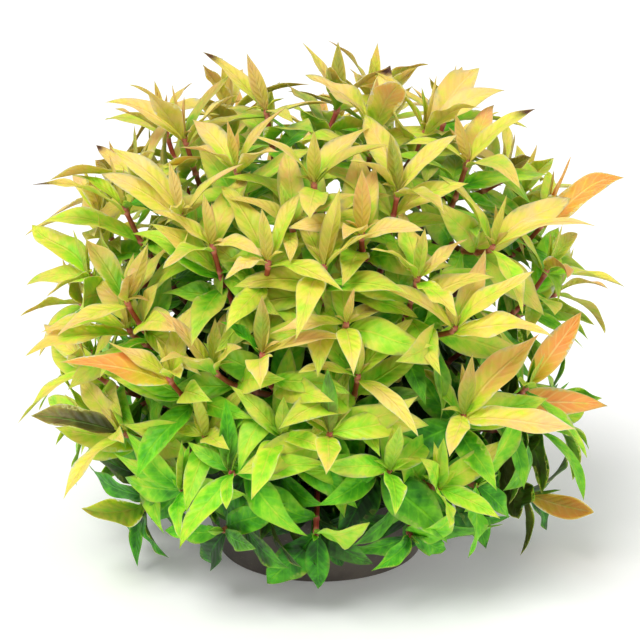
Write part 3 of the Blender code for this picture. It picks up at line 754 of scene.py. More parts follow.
class Reader:
    """Reads a shoot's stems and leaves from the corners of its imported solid."""

    WELD = 0.02 * MM
    FAR = 6 * MM
    THIN = 2 * MM
    RING_SPAN = 6 * MM

    def __init__(self, node: bpy.types.Object) -> None:
        """Welds a copy of the node's mesh and finds each corner's neighbours.

        Args:
            node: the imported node's object, which stays as it is.
        """
        bm = bmesh.new()
        bm.from_mesh(node.data)
        bmesh.ops.remove_doubles(bm, verts=bm.verts, dist=self.WELD)
        bm.verts.ensure_lookup_table()
        bm.verts.index_update()
        self.places = [v.co.copy() for v in bm.verts]
        self.near = [{e.other_vert(v).index for e in v.link_edges} for v in bm.verts]
        bm.free()
        self.leaf_corners: Ring = set()
        self.seeds: list[Seed] = []
        self.buds: list[Bud] = []
        self.find_tips()
        self.lines = self.find_lines()

    def middle(self, corners: Iterable[int]) -> Vector:
        """The middle of some corners."""
        found = [self.places[i] for i in corners]
        return sum(found, Vector()) / len(found)

    def diagonal(self, ring: Iterable[int]) -> tuple[Vector, Vector]:
        """The two corners of a square ring that lie farthest apart.

        Args:
            ring: the corners' numbers; one may be missing.

        Returns:
            The two corners' places.
        """
        pairs = itertools.combinations(sorted(ring), 2)
        a, b = max(pairs, key=lambda pair: round(self.apart(pair), 6))
        return self.places[a], self.places[b]

    def centre(self, ring: Iterable[int]) -> Vector:
        """The centre of a square ring, which may lack a corner."""
        a, b = self.diagonal(ring)
        return (a + b) / 2

    def span(self, ring: Iterable[int]) -> float:
        """A square ring's diagonal."""
        a, b = self.diagonal(ring)
        return (a - b).length

    def find_tips(self) -> None:
        """Sorts the sharp tips into leaves and buds."""
        for tip, near in enumerate(self.near):
            here = self.places[tip]
            if len(near) != 4 or any((self.places[i] - here).length < self.FAR for i in near):
                continue
            first = min(near)
            across = next(iter(near - self.near[first] - {first}))
            others = sorted(near - {first, across})
            pairs = sorted(((first, across), tuple(others)), key=self.apart)
            if self.apart(pairs[0]) < self.THIN:
                self.add_seed(tip, *pairs)
            else:
                self.buds.append((tip, sorted(near)))

    def apart(self, pair: tuple[int, int]) -> float:
        """The distance between two corners."""
        return (self.places[pair[0]] - self.places[pair[1]]).length

    def add_seed(self, tip: int, thin: tuple[int, int], wide: tuple[int, int]) -> None:
        """Keeps one leaf.

        Args:
            tip: its tip's corner.
            thin: the corners below and above its waist.
            wide: the corners at its waist's two edges, which stand higher than its middle.
        """
        ring = {*thin, *wide}
        foot = set().union(*(self.near[i] for i in ring)) - ring - {tip}
        self.leaf_corners |= ring | {tip}
        waist = self.middle(thin)
        base = self.middle(foot)
        point = self.places[tip]
        chord = (point - base).normalized()
        upper = self.middle(wide) - waist
        upper = (upper - chord * upper.dot(chord)).normalized()
        self.seeds.append(Seed(base, waist, point, upper, self.apart(wide) / 2))

    def walk(self, ring: Ring, seen: Ring) -> list[Ring]:
        """Follows a stem down from one ring of four corners to the next, until it forks or ends.

        Args:
            ring: the ring to start from.
            seen: the corners that don't count, to which those found are added.

        Returns:
            The rings, from the top down.
        """
        rings = []
        while True:
            below = set().union(*(self.near[i] for i in ring)) - seen
            if len(below) != 4:
                return rings
            seen |= below
            rings.append(below)
            ring = below

    def find_lines(self) -> list[Line]:
        """Follows every bud's stem down: the main stem and the side shoot to their fork, then the rest.

        The main stem has a third leaf pair, so it is the one whose fourth and fifth rings stand close
        together.

        Returns:
            The stems' lines, the main one first.
        """
        seen = self.leaf_corners | {tip for tip, _ in self.buds} | {i for _, ring in self.buds for i in ring}
        walks = [(bud, self.walk(set(bud[1]), set(seen))) for bud in self.buds]
        walks.sort(key=lambda walk: (self.centre(walk[1][3]) - self.centre(walk[1][4])).length)
        found = [self.walk(set(bud[1]), seen) for bud, _ in walks]
        fork = found[0][-1]
        rest = set(range(len(self.places))) - seen
        while rest:
            last = self.centre(found[0][-1])
            first = self.places[min(rest, key=lambda i: (self.places[i] - last).length)]
            ring = {i for i in rest if (self.places[i] - first).length < self.RING_SPAN}
            found[0].append(ring)
            rest -= ring
        return self.as_lines([bud for bud, _ in walks], found, fork)

    def as_lines(self, buds: list[Bud], found: list[list[Ring]], fork: Ring) -> list[Line]:
        """Turns rings of corners into lines.

        Args:
            buds: the buds' tips and waists, the main stem's first.
            found: each stem's rings from the top down.
            fork: the main stem's ring just above its fork.

        Returns:
            The lines, from the foot up.
        """
        lines = []
        for (tip, bud), rings in zip(buds, found):
            upward = rings[::-1]
            points = [self.centre(ring) for ring in upward]
            halves = [self.span(ring) / 2 / math.sqrt(2) for ring in upward]
            if lines:
                below = found[0][found[0].index(fork) + 1]
                points.insert(0, (self.centre(fork) + self.centre(below)) / 2)
                halves.insert(0, halves[0])
            first = self.places[bud[0]]
            across = sorted((self.places[i] - first for i in bud[1:]), key=lambda way: way.length)[1]
            line = Line(points, halves, self.places[tip], across.normalized(), bool(lines))
            line.settle()
            lines.append(line)
        return lines


# Leaves


class Crowding:
    """A coarse grid of what is taken, so that new leaves grow where there is room."""

    CELL = 2.5 * MM
    REACH = 170 * MM
    TALL = 270 * MM

    def __init__(self) -> None:
        """Starts with nothing taken."""
        side = int(2 * self.REACH / self.CELL)
        self.grid = np.zeros((side, side, int(self.TALL / self.CELL)), np.int16)

    def cells(self, points: np.ndarray) -> tuple[np.ndarray, ...]:
        """The cells that some points lie in.

        Args:
            points: the points, one row each.

        Returns:
            The cells' numbers along the grid's three axes.
        """
        shift = np.array((self.REACH, self.REACH, 0.0))
        found = ((points + shift) / self.CELL).astype(int)
        top = np.array(self.grid.shape) - 1
        return tuple(np.clip(found, 0, top).T)

    def take(self, points: np.ndarray) -> None:
        """Marks the cells under some points as taken."""
        found = np.unique(np.stack(self.cells(points)), axis=1)
        self.grid[tuple(found)] += 1

    def met(self, points: np.ndarray) -> int:
        """How many of some points lie where something is already."""
        return int((self.grid[self.cells(points)] > 0).sum())


@dataclass
class Leaf:
    """One leaf: a bent, folded blade with a wavy edge.

    The numbers tone, warm, heart, brown and dull steer its colours. Tone runs from 0, old and green, to 1,
    young and pale, and also carries the painted shade deep in the bush and on its right and the painted
    light on its lower left; warm is 1 for a peach flush and 2 for an orange leaf; heart darkens the foot of
    a bud's leaf; brown burns its tip; dull turns it olive-brown.
    """

    base: Vector
    waist: Vector
    tip: Vector
    upper: Vector
    half_width: float
    tone: float
    warm: float = 0.0
    heart: float = 0.0
    brown: float = 0.0
    dull: float = 0.0
    fold: float = 0.22
    roll: float = 0.08
    arch: float = 0.0
    swing: float = 0.0
    wave: float = 0.06
    waves: float = 1.6
    phase: float = 0.0
    twist: float = 0.0
    curl: float = 0.0
    fall: float = 1.25
    fine: bool = True

    WAIST_AT = 0.42
    RISE_POWER = 0.82
    FOOT_WIDTH = 0.26
    FOOT_POWER = 8
    CURL_FROM = 0.6
    RIB_SOFTNESS = 0.03
    EDGE_LAG = 0.23
    TIP_CROWDING = 0.4
    COLOURINGS = ("tone", "warm", "heart", "brown", "dull")
    THICKNESS = 0.32 * MM
    KEEL = 0.22 * MM
    GROOVE = 0.16 * MM
    FINE_GRID = (20, (-1.0, -0.64, -0.24, 0.0, 0.24, 0.64, 1.0))
    PLAIN_GRID = (14, (-1.0, -0.5, 0.0, 0.5, 1.0))

    def spine(self, t: np.ndarray) -> tuple[np.ndarray, np.ndarray]:
        """The midrib: a curve through the base, the waist and the tip.

        Args:
            t: places along it, from 0 to 1.

        Returns:
            The points and the unit tangents there.
        """
        base, waist, tip = (np.array(p) for p in (self.base, self.waist, self.tip))
        s = self.WAIST_AT
        bend = (waist - (1 - s) ** 2 * base - s * s * tip) / (2 * s * (1 - s))
        t = t[:, None]
        points = (1 - t) ** 2 * base + 2 * t * (1 - t) * bend + t * t * tip
        tangents = 2 * (1 - t) * (bend - base) + 2 * t * (tip - bend)
        return points, tangents / np.linalg.norm(tangents, axis=1, keepdims=True)

    def outline(self, t: np.ndarray) -> np.ndarray:
        """The blade's half width along it.

        Args:
            t: places along it, from 0 to 1.

        Returns:
            Shares of its widest.
        """
        peak = self.RISE_POWER / (self.RISE_POWER + self.fall)
        most = peak**self.RISE_POWER * (1 - peak) ** self.fall
        foot = self.FOOT_WIDTH * (1 - t) ** self.FOOT_POWER
        return np.maximum(t**self.RISE_POWER * (1 - t) ** self.fall / most, foot)

    def frames(self, t: np.ndarray) -> tuple[np.ndarray, np.ndarray, np.ndarray]:
        """The arched, swung and curled midrib, and how the twisted blade lies along it.

        Args:
            t: places along it, from 0 to 1.

        Returns:
            The midrib's points, and the directions across the blade and out of its face.
        """
        points, tangents = self.spine(t)
        upper = np.array(self.upper)
        across = np.cross(upper, tangents)
        across /= np.linalg.norm(across, axis=1, keepdims=True)
        normal = np.cross(tangents, across)
        length = self.length()
        points = points + normal * (self.arch * length * np.sin(math.pi * t))[:, None]
        points = points + across * (self.swing * length * np.sin(2 * math.pi * t))[:, None]
        points = points - normal * (self.curl * length * np.maximum(0, t - self.CURL_FROM) ** 2)[:, None]
        turn = (self.twist * t**2)[:, None]
        turned = across * np.cos(turn) + normal * np.sin(turn)
        return points, turned, normal * np.cos(turn) - across * np.sin(turn)

    def length(self) -> float:
        """From its base straight to its tip."""
        return (self.tip - self.base).length

    def samples(self) -> np.ndarray:
        """Spreads a few points over the blade, to see what it meets.

        Returns:
            The points, one row each, edge by edge from the foot to the tip.
        """
        t = np.array((0.12, 0.25, 0.38, 0.52, 0.66, 0.80, 0.92, 1.0))
        points, across, normal = self.frames(t)
        half = (self.outline(t) * self.half_width)[:, None]
        edges = [points + across * half * v + normal * half * abs(v) * self.fold for v in (-0.8, 0.0, 0.8)]
        return np.concatenate(edges)

    def vary(self, rng: random.Random, habit: dict[str, Spread]) -> None:
        """Gives the blade bends and waves of its own.

        Args:
            rng: the seeded random numbers.
            habit: how each value varies, in the order of the draws.
        """
        for name, spread in habit.items():
            value = rng.uniform(*spread) if isinstance(spread, tuple) else rng.gauss(0, spread)
            setattr(self, name, value)

    def add_to(self, surface: Surface) -> None:
        """Builds the blade, a closed skin on both faces.

        Args:
            surface: what it is added to.
        """
        rows, columns = self.FINE_GRID if self.fine else self.PLAIN_GRID
        v = np.array(columns)
        even = np.linspace(0, 1, rows + 1)
        eased = 0.5 - 0.5 * np.cos(math.pi * even)
        t = ((1 - self.TIP_CROWDING) * even + self.TIP_CROWDING * eased)[:-1]
        points, across, normal = self.frames(t)
        half = (self.outline(t) * self.half_width)[:, None]
        rib = np.sqrt(v**2 + self.RIB_SOFTNESS) - math.sqrt(self.RIB_SOFTNESS)
        lift = half * (rib * self.fold - np.abs(v) ** 3 * self.roll)
        ripple = np.sin(2 * math.pi * (self.waves * t[:, None] + self.phase + self.EDGE_LAG * np.sign(v)))
        lift = lift + half * np.abs(v) ** 2 * self.wave * 4 * ripple * np.minimum(1, 3 * t)[:, None]
        lift = lift - self.GROOVE * (v == 0) * np.minimum(1, 6 * (1 - t))[:, None]
        top = points[:, None] + across[:, None] * (half * v)[..., None] + normal[:, None] * lift[..., None]
        depth = self.THICKNESS * (1 - v**2) + self.KEEL * (v == 0)
        thin = np.minimum(1, 5 * (1 - t))[:, None] * depth
        low = top[:, 1:-1] - normal[:, None] * thin[:, 1:-1, None]
        end = self.frames(np.array((1.0,)))[0]
        self.stitch(surface, top, low, end, t, v)

    def stitch(
        self,
        surface: Surface,
        top: np.ndarray,
        low: np.ndarray,
        end: np.ndarray,
        t: np.ndarray,
        v: np.ndarray,
    ) -> None:
        """Joins the two faces along the blade's edge and at its tip.

        Args:
            surface: what the blade is added to.
            top: the upper face's corners, by row and column.
            low: the lower face's corners, without the edge columns.
            end: the tip.
            t: the rows' places along the blade.
            v: the columns' places across it.
        """
        rows, wide = top.shape[:2]
        upper_ids = np.arange(rows * wide).reshape(rows, wide)
        low_ids = upper_ids.copy()
        low_ids[:, 1:-1] = rows * wide + np.arange(rows * (wide - 2)).reshape(rows, wide - 2)
        tip_id = rows * wide + rows * (wide - 2)
        faces = []
        for ids, order in ((upper_ids, 1), (low_ids, -1)):
            quads = np.stack((ids[:-1, :-1], ids[:-1, 1:], ids[1:, 1:], ids[1:, :-1]), axis=-1)
            faces += quads.reshape(-1, 4)[:, ::order].tolist()
            faces += [[a, b, tip_id][::order] for a, b in zip(ids[-1, :-1].tolist(), ids[-1, 1:].tolist())]
        foot = [*upper_ids[0].tolist(), *low_ids[0, 1:-1][::-1].tolist()]
        faces.append(foot[::-1])
        corners = np.concatenate((top.reshape(-1, 3), low.reshape(-1, 3), end))
        along = np.concatenate((np.repeat(t, wide), np.repeat(t, wide - 2), (1.0,)))
        across = np.concatenate((np.tile(v, rows), np.tile(v[1:-1], rows), (0.0,)))
        margin = np.concatenate((np.tile(np.abs(v) == 1, rows), np.zeros(rows * (wide - 2), bool), (True,)))
        under = np.concatenate((np.zeros(rows * wide), np.ones(rows * (wide - 2)), (0.0,)))
        looks = {name: getattr(self, name) for name in self.COLOURINGS}
        surface.add(corners, faces, along=along, across=across, under=under, margin=margin, **looks)


@dataclass
class Bush:
    """What decides the leaves' ages and colours over the whole bush, and where more leaves may grow."""

    rng: random.Random
    crowding: Crowding = field(default_factory=Crowding)
    pot_radius: float = 68 * MM
    pot_height: float = 52 * MM
    floor_gap: float = 2 * MM
    dome_radius: float = 135 * MM
    dome_middle: float = 112 * MM
    dome_above: float = 128 * MM
    dome_below: float = 117 * MM
    dome_power: float = 2.5
    middle_tone: float = 0.47
    high_paler: float = 0.38
    lowest_greener: float = 0.36
    # Painted shade: how much darker and greener a leaf is painted the deeper it lies inside the dome
    inner_painted_shade: float = 0.36
    pair_greener: float = 0.045
    # Painted shade on the bush's right side and painted light on its lower left, as if lit from the left
    right_painted_shade: float = 0.12
    lower_left_painted_light: float = 0.09
    tone_spread: float = 0.06
    flush: float = 0.42
    behind_warmer: float = 0.40
    pair_cooler: float = 0.12
    flush_spread: float = 0.04
    high_flush_spread: float = 0.17
    dull: float = 0.02
    behind_duller: float = 0.16
    dull_spread: float = 0.20

    def near_surface(self, point: Vector) -> float:
        """How far out in the dome a point lies.

        Args:
            point: the point.

        Returns:
            From 0 at the dome's middle to 1 at its surface.
        """
        half = self.dome_above if point.z > self.dome_middle else self.dome_below
        flat = math.hypot(point.x, point.y) / self.dome_radius
        tall = abs((point.z - self.dome_middle) / half)
        return (flat**self.dome_power + tall**self.dome_power) ** (1 / self.dome_power)

    def tone(self, middle: Vector, pair: float) -> float:
        """A leaf's tone, with its painted shade and painted light.

        Args:
            middle: the leaf's middle.
            pair: how many pairs it is down from the bud.

        Returns:
            From 0, old and green or darkened by painted shade, to 1, young and pale or lit by painted light.
        """
        high = smooth(middle.z, 15 * MM, 165 * MM)
        lowest = 1 - smooth(middle.z, 20 * MM, 80 * MM)
        # Painted shade: leaves deep inside the dome get a darker tone
        shaded = 1 - smooth(self.near_surface(middle), 0.45, 0.95)
        # Painted shade darkens the right side; painted light makes the lower left paler
        right = smooth(middle.x, 55 * MM, 115 * MM) * high
        left = smooth(-middle.x, 55 * MM, 115 * MM) * (1 - high)
        tone = self.middle_tone + self.high_paler * high - self.lowest_greener * lowest
        tone = tone - self.pair_greener * pair - self.inner_painted_shade * shaded
        tone = tone - self.right_painted_shade * right + self.lower_left_painted_light * left
        return tone + self.rng.gauss(0, self.tone_spread)

    def behind(self, middle: Vector) -> float:
        """How much a leaf belongs to the top's back row, from 0 to 1."""
        return smooth(middle.y, -20 * MM, 50 * MM) * smooth(middle.z, 130 * MM, 200 * MM)

    def warmth(self, middle: Vector, pair: float) -> float:
        """A leaf's flush: most on the young leaves at the top, and none low down.

        Args:
            middle: the leaf's middle.
            pair: how many pairs it is down from the bud.

        Returns:
            From 0 to 1.
        """
        high = smooth(middle.z, 60 * MM, 170 * MM)
        flush = (self.flush + self.behind_warmer * self.behind(middle)) * high
        flush = flush * max(0.0, 1 - self.pair_cooler * pair)
        drawn = self.rng.gauss(0, self.flush_spread + self.high_flush_spread * high)
        return min(1.0, max(0.0, flush + drawn))

    def dullness(self, middle: Vector) -> float:
        """How olive-brown a leaf is: some high up are, most of all at the back, and none low down."""
        drawn = self.rng.gauss(self.dull + self.behind_duller * self.behind(middle), self.dull_spread)
        return max(0.0, drawn) * smooth(middle.z, 90 * MM, 190 * MM)

    def allows(self, points: np.ndarray) -> bool:
        """Whether a leaf stays in the dome, off the floor and out of the pot.

        Args:
            points: points spread over it, one row each.

        Returns:
            Whether all of them do.
        """
        flat = np.hypot(points[:, 0], points[:, 1])
        z = points[:, 2]
        half = np.where(z > self.dome_middle, self.dome_above, self.dome_below)
        tall = np.abs(z - self.dome_middle) / half
        inside = (flat / self.dome_radius) ** self.dome_power + tall**self.dome_power < 1
        in_pot = (flat < self.pot_radius) & (z < self.pot_height)
        return bool(inside.all() and z.min() > self.floor_gap and not in_pot.any())


class Standouts:
    """Gives the few leaves that stand out in the picture their own look."""

    REACH = 8.0
    DEPTH_COST = 40.0

    def __init__(self, leaves: list[Leaf]) -> None:
        """Finds, for each place, the leaf whose tip is seen nearest to it, a front one first.

        Args:
            leaves: the leaves that it may be.
        """
        for look, places in STANDOUTS.items():
            for place in places:
                offsets = [math.dist(seen_at(leaf.tip), place) for leaf in leaves]
                depths = [leaf.tip.dot(AHEAD) * self.DEPTH_COST for leaf in leaves]
                best = min(range(len(leaves)), key=lambda i: offsets[i] + depths[i])
                if offsets[best] < self.REACH:
                    self.dress(leaves[best], look)
                else:
                    log.info("no leaf at %d, %d: the nearest is %.1f mm off", *place, min(offsets))

    def dress(self, leaf: Leaf, look: Look) -> None:
        """Changes one leaf's colours.

        Args:
            leaf: the leaf.
            look: how it looks.
        """
        leaf.dull = 0.0
        for name, value in LOOKS[look].items():
            if name == LEAST_TONE:
                leaf.tone = max(leaf.tone, value)
            else:
                setattr(leaf, name, value)


@dataclass
class Shoot:
    """One rooted plant: its stems, the leaves that its solid has, its bud leaves and its older leaves.

    The habits say how each kind of leaf varies, in the order of the draws. A bud's leaves are given by their
    turn around the stem, their size, their spread from the bud and their width, with angles in degrees.
    """

    name: str
    reader: Reader
    bush: Bush
    leaves: list[Leaf] = field(default_factory=list)
    nodes: list[list[float]] = field(default_factory=list)
    moods: list[tuple[float, float]] = field(default_factory=list)

    # Stems
    STEM_SIDES = 10
    ROOT_DEPTH = 3 * MM
    ROUND = 1.12
    RIBS = 4
    RIB_HEIGHT = 0.05
    NODE_SWELL = 0.30
    NODE_REACH = 1.1 * MM
    SWELLINGS = (-1.6 * MM, -0.6 * MM, 0.0, 0.6 * MM, 1.6 * MM)
    APEX_TAPER = 0.55
    AGED_BELOW = 75 * MM
    SUNLIT_AGE = 0.45
    BLUSHES = (0.1, 1.0)

    # Colours that a stem's leaves share
    TONE_MOOD = 0.055
    FLUSH_MOODS = (0.0, 0.0, 0.15, 0.5)

    # The leaves that the solid has
    PAIR_GAP = 7 * MM
    READ_WIDTHS = (0.70, 0.92)
    LOW_WIDER = 0.12
    READ_DULLNESS = 0.7

    # Buds
    BUD_LEAVES = ((0, 1.0, 1, 0.125), (180, 0.74, 12, 0.13), (90, 0.36, 58, 0.17), (270, 0.33, 62, 0.17))
    HANGS_BELOW = 0.3
    CENTRAL = 30 * MM
    BUD_BOW = 0.35
    BUD_SPREADS = (0.7, 1.3)
    BUD_HEARTS = (0.5, 1.3)

    # Where the older pairs stand
    DENSE_BELOW = (60 * MM, 90 * MM)
    DENSE_SHARE = 0.62
    INTERNODES = (8.5 * MM, 9.5 * MM, 10.5 * MM)
    INTERNODE_SPREAD = (0.85, 1.15)
    FIRST_NODE = 6 * MM
    LOWEST_NODE = 9 * MM
    LOWEST_SIDE_NODE = 8 * MM
    NODES_APART = 3.5 * MM
    OFF_SQUARE = 14

    # The older leaves, and what is tried to find room for them; angles from the stem in degrees
    OLD_LENGTH = 42 * MM
    OLD_LENGTHS = (0.85, 1.1)
    INNER_SHORTER = 0.25
    OLD_WIDTHS = (0.16, 0.20)
    HANGING_WIDER = 0.03
    OLD_ARCHES = (6, 20)
    OLD_ANGLE = 68
    INNER_OPENER = 18
    HANGING_OPENER = 32
    SAG = 0.12
    OLD_TURNS = (0, -16, 16, -34, 34)
    OLD_LEANS = (-30, -15, 0, 15, 30)
    OLD_SCALES = (1.0, 0.8, 0.62)
    MOST_CROWDED = 10.0
    ANGLE_AS_ONE = 30
    SMALLNESS_COST = 5
    FINE_PAIRS = 3

    READ_HABIT: ClassVar[dict[str, Spread]] = {
        "fold": (0.15, 0.48),
        "roll": (-0.04, 0.16),
        "arch": (0.0, 0.035),
        "swing": 0.014,
        "wave": (0.02, 0.085),
        "waves": (1.2, 2.3),
        "phase": (0.0, 1.0),
        "twist": 0.32,
        "curl": (-0.05, 0.30),
        "fall": (0.92, 1.35),
    }
    BUD_HABIT: ClassVar[dict[str, Spread]] = {
        "fold": (0.25, 0.5),
        "wave": (0.01, 0.04),
        "phase": (0.0, 1.0),
        "twist": 0.15,
    }
    OLD_HABIT: ClassVar[dict[str, Spread]] = {
        "fold": (0.08, 0.35),
        "roll": (-0.04, 0.16),
        "swing": 0.014,
        "wave": (0.02, 0.07),
        "phase": (0.0, 1.0),
        "twist": 0.3,
        "curl": (0.0, 0.25),
    }

    def read_leaves(self) -> None:
        """Turns the solid's leaves into fine ones, and notes where on its stem each pair stands."""
        rng = self.bush.rng
        lines = self.reader.lines
        self.nodes = [[] for _ in lines]
        self.moods = [(rng.gauss(0, self.TONE_MOOD), rng.choice(self.FLUSH_MOODS)) for _ in lines]
        for seed in self.reader.seeds:
            number = min(range(len(lines)), key=lambda n: min((p - seed.base).length for p in lines[n].run))
            back = lines[number].back_of(seed.base)
            self.nodes[number].append(back)
            low = 1 - smooth(seed.waist.z, 20 * MM, 120 * MM)
            half_width = seed.half_width * rng.uniform(*self.READ_WIDTHS) * (1 + self.LOW_WIDER * low)
            tone, warm = self.colours(number, seed.waist, back / self.PAIR_GAP)
            leaf = Leaf(seed.base, seed.waist, seed.tip, seed.upper, half_width, tone, warm)
            leaf.vary(rng, self.READ_HABIT)
            leaf.dull = self.READ_DULLNESS * self.bush.dullness(seed.waist)
            self.keep(leaf)

    def keep(self, leaf: Leaf) -> None:
        """Takes a leaf into the shoot, and the room that it fills."""
        self.leaves.append(leaf)
        self.bush.crowding.take(leaf.samples())

    def colours(self, number: int, middle: Vector, pair: float) -> tuple[float, float]:
        """A leaf's tone and flush.

        Args:
            number: which of the shoot's lines it grows on.
            middle: the leaf's middle.
            pair: how many pairs down from the bud it is.

        Returns:
            Its tone and its flush.
        """
        paler, warmer = self.moods[number]
        high = smooth(middle.z, 40 * MM, 110 * MM)
        warm = self.bush.warmth(middle, pair) + warmer * max(0.0, 1 - 0.3 * pair) * high
        return self.bush.tone(middle, pair) + paler, min(1.0, warm)

    def add_buds(self) -> None:
        """Grows the narrow young leaves at each apex: two long, and two short unless the stem hangs."""
        rng = self.bush.rng
        for number, line in enumerate(self.reader.lines):
            apex, along, half = line.at(0)
            reach = line.bud_tip - apex
            side = outward(apex) if math.hypot(apex.x, apex.y) > self.CENTRAL else -AHEAD
            side = (side - along * side.dot(along)).normalized()
            heart = 0.25 + 0.45 * smooth(apex.z, 60 * MM, 200 * MM)
            bud = self.BUD_LEAVES if along.z > self.HANGS_BELOW else self.BUD_LEAVES[:2]
            for turn, size, spread, width in bud:
                out = Quaternion(along, math.radians(turn + self.off_square())) @ side
                hinge = along.cross(out).normalized()
                spread = math.radians(spread * rng.uniform(*self.BUD_SPREADS))
                chord = Quaternion(hinge, spread) @ reach * size
                base = apex - along * 0.6 * MM + out * half * 0.5
                waist = base + Quaternion(hinge, -self.BUD_BOW * spread) @ chord * Leaf.WAIST_AT
                upper = (along - chord.normalized() * along.dot(chord.normalized()) - out).normalized()
                tone, warm = self.colours(number, waist, 0)
                leaf = Leaf(base, waist, base + chord, upper, chord.length * width, tone, warm)
                leaf.heart = heart * rng.uniform(*self.BUD_HEARTS) * size
                leaf.vary(rng, self.BUD_HABIT)
                self.keep(leaf)

    def add_older(self) -> None:
        """Grows the older pairs, each square to the one above it, down the stems."""
        rng = self.bush.rng
        for number, line in enumerate(self.reader.lines):
            taken = sorted(self.nodes[number])
            back = self.FIRST_NODE
            pair = 1.0
            place, along, _ = line.at(back)
            out = (line.bud_side - along * line.bud_side.dot(along)).normalized()
            foot = line.length - (self.LOWEST_SIDE_NODE if line.is_side else self.LOWEST_NODE)
            while True:
                gap = self.INTERNODES[min(len(self.INTERNODES) - 1, int(pair))]
                dense = self.DENSE_SHARE + (1 - self.DENSE_SHARE) * smooth(place.z, *self.DENSE_BELOW)
                back += gap * rng.uniform(*self.INTERNODE_SPREAD) * dense
                pair += 1.0
                if back > foot:
                    break
                if any(abs(back - other) < self.NODES_APART for other in taken):
                    continue
                place, along, half = line.at(back)
                out = Quaternion(along, math.radians(90 + self.off_square())) @ out
                out = (out - along * out.dot(along)).normalized()
                self.nodes[number].append(back)
                for way in (1, -1):
                    self.add_old_leaf(number, place, along, out * way, half, pair)

    def off_square(self) -> float:
        """How far one leaf pair is turned off its place around the stem, in degrees."""
        return self.bush.rng.uniform(-self.OFF_SQUARE, self.OFF_SQUARE)

    def add_old_leaf(
        self, number: int, place: Vector, along: Vector, out: Vector, half: float, pair: float
    ) -> None:
        """Grows one older leaf where it has the most room, or none where there is none.

        Args:
            number: which of the shoot's lines it grows on.
            place: where on the stem it grows.
            along: the stem's direction there.
            out: the side of the stem that it grows from.
            half: the stem's half side there.
            pair: how many pairs down from the bud it is.
        """
        rng = self.bush.rng
        base = place + out * half * 0.8
        inner = smooth(pair, 2, 7)
        hanging = 1 - smooth(place.z, 55 * MM, 105 * MM)
        shorter = 1.0 - self.INNER_SHORTER * inner * (1 - hanging)
        size = self.OLD_LENGTH * rng.uniform(*self.OLD_LENGTHS) * shorter
        slender = rng.uniform(*self.OLD_WIDTHS) + self.HANGING_WIDER * hanging
        arch = math.radians(rng.uniform(*self.OLD_ARCHES))
        favourite = self.OLD_ANGLE + self.INNER_OPENER * inner + self.HANGING_OPENER * hanging
        best: Optional[Leaf] = None
        best_cost = self.MOST_CROWDED * (2.0 - smooth(place.z, *self.DENSE_BELOW))
        for turn, lean, scale in itertools.product(self.OLD_TURNS, self.OLD_LEANS, self.OLD_SCALES):
            angle = math.radians(favourite + lean)
            way = Quaternion(along, math.radians(turn)) @ out
            chord = along * math.cos(angle) + way * math.sin(angle) - UP * self.SAG
            chord = chord.normalized() * size * scale
            hinge = along.cross(way).normalized()
            waist = base + Quaternion(hinge, -arch) @ chord * Leaf.WAIST_AT
            upper = chord.cross(hinge).normalized()
            leaf = Leaf(base, waist, base + chord, upper, chord.length * slender, 0.0)
            points = leaf.samples()
            if not self.bush.allows(points):
                continue
            cost = self.bush.crowding.met(points[2:]) + abs(turn) / self.ANGLE_AS_ONE
            cost = cost + abs(lean) / self.ANGLE_AS_ONE + (1 - scale) * self.SMALLNESS_COST
            if cost < best_cost:
                best, best_cost = leaf, cost
        if best is None:
            return
        best.tone, best.warm = self.colours(number, best.waist, pair)
        best.dull = self.bush.dullness(best.waist)
        best.vary(rng, self.OLD_HABIT)
        best.fine = pair < self.FINE_PAIRS
        self.keep(best)

    def leaf_piece(self, finish: bpy.types.Material) -> bpy.types.Object:
        """Builds the shoot's leaves.

        Args:
            finish: the leaves' material.

        Returns:
            The leaves as one piece.
        """
        surface = Surface()
        for leaf in self.leaves:
            leaf.add_to(surface)
        return surface.mesh(f"{self.name}_leaves", finish)

    def stem_piece(self, finish: bpy.types.Material) -> bpy.types.Object:
        """Builds the shoot's stem and side shoot.

        Args:
            finish: the stems' material.

        Returns:
            Both as one piece.
        """
        surface = Surface()
        for line, nodes in zip(self.reader.lines, self.nodes):
            self.add_stem(surface, line, nodes)
        return surface.mesh(f"{self.name}_stems", finish)

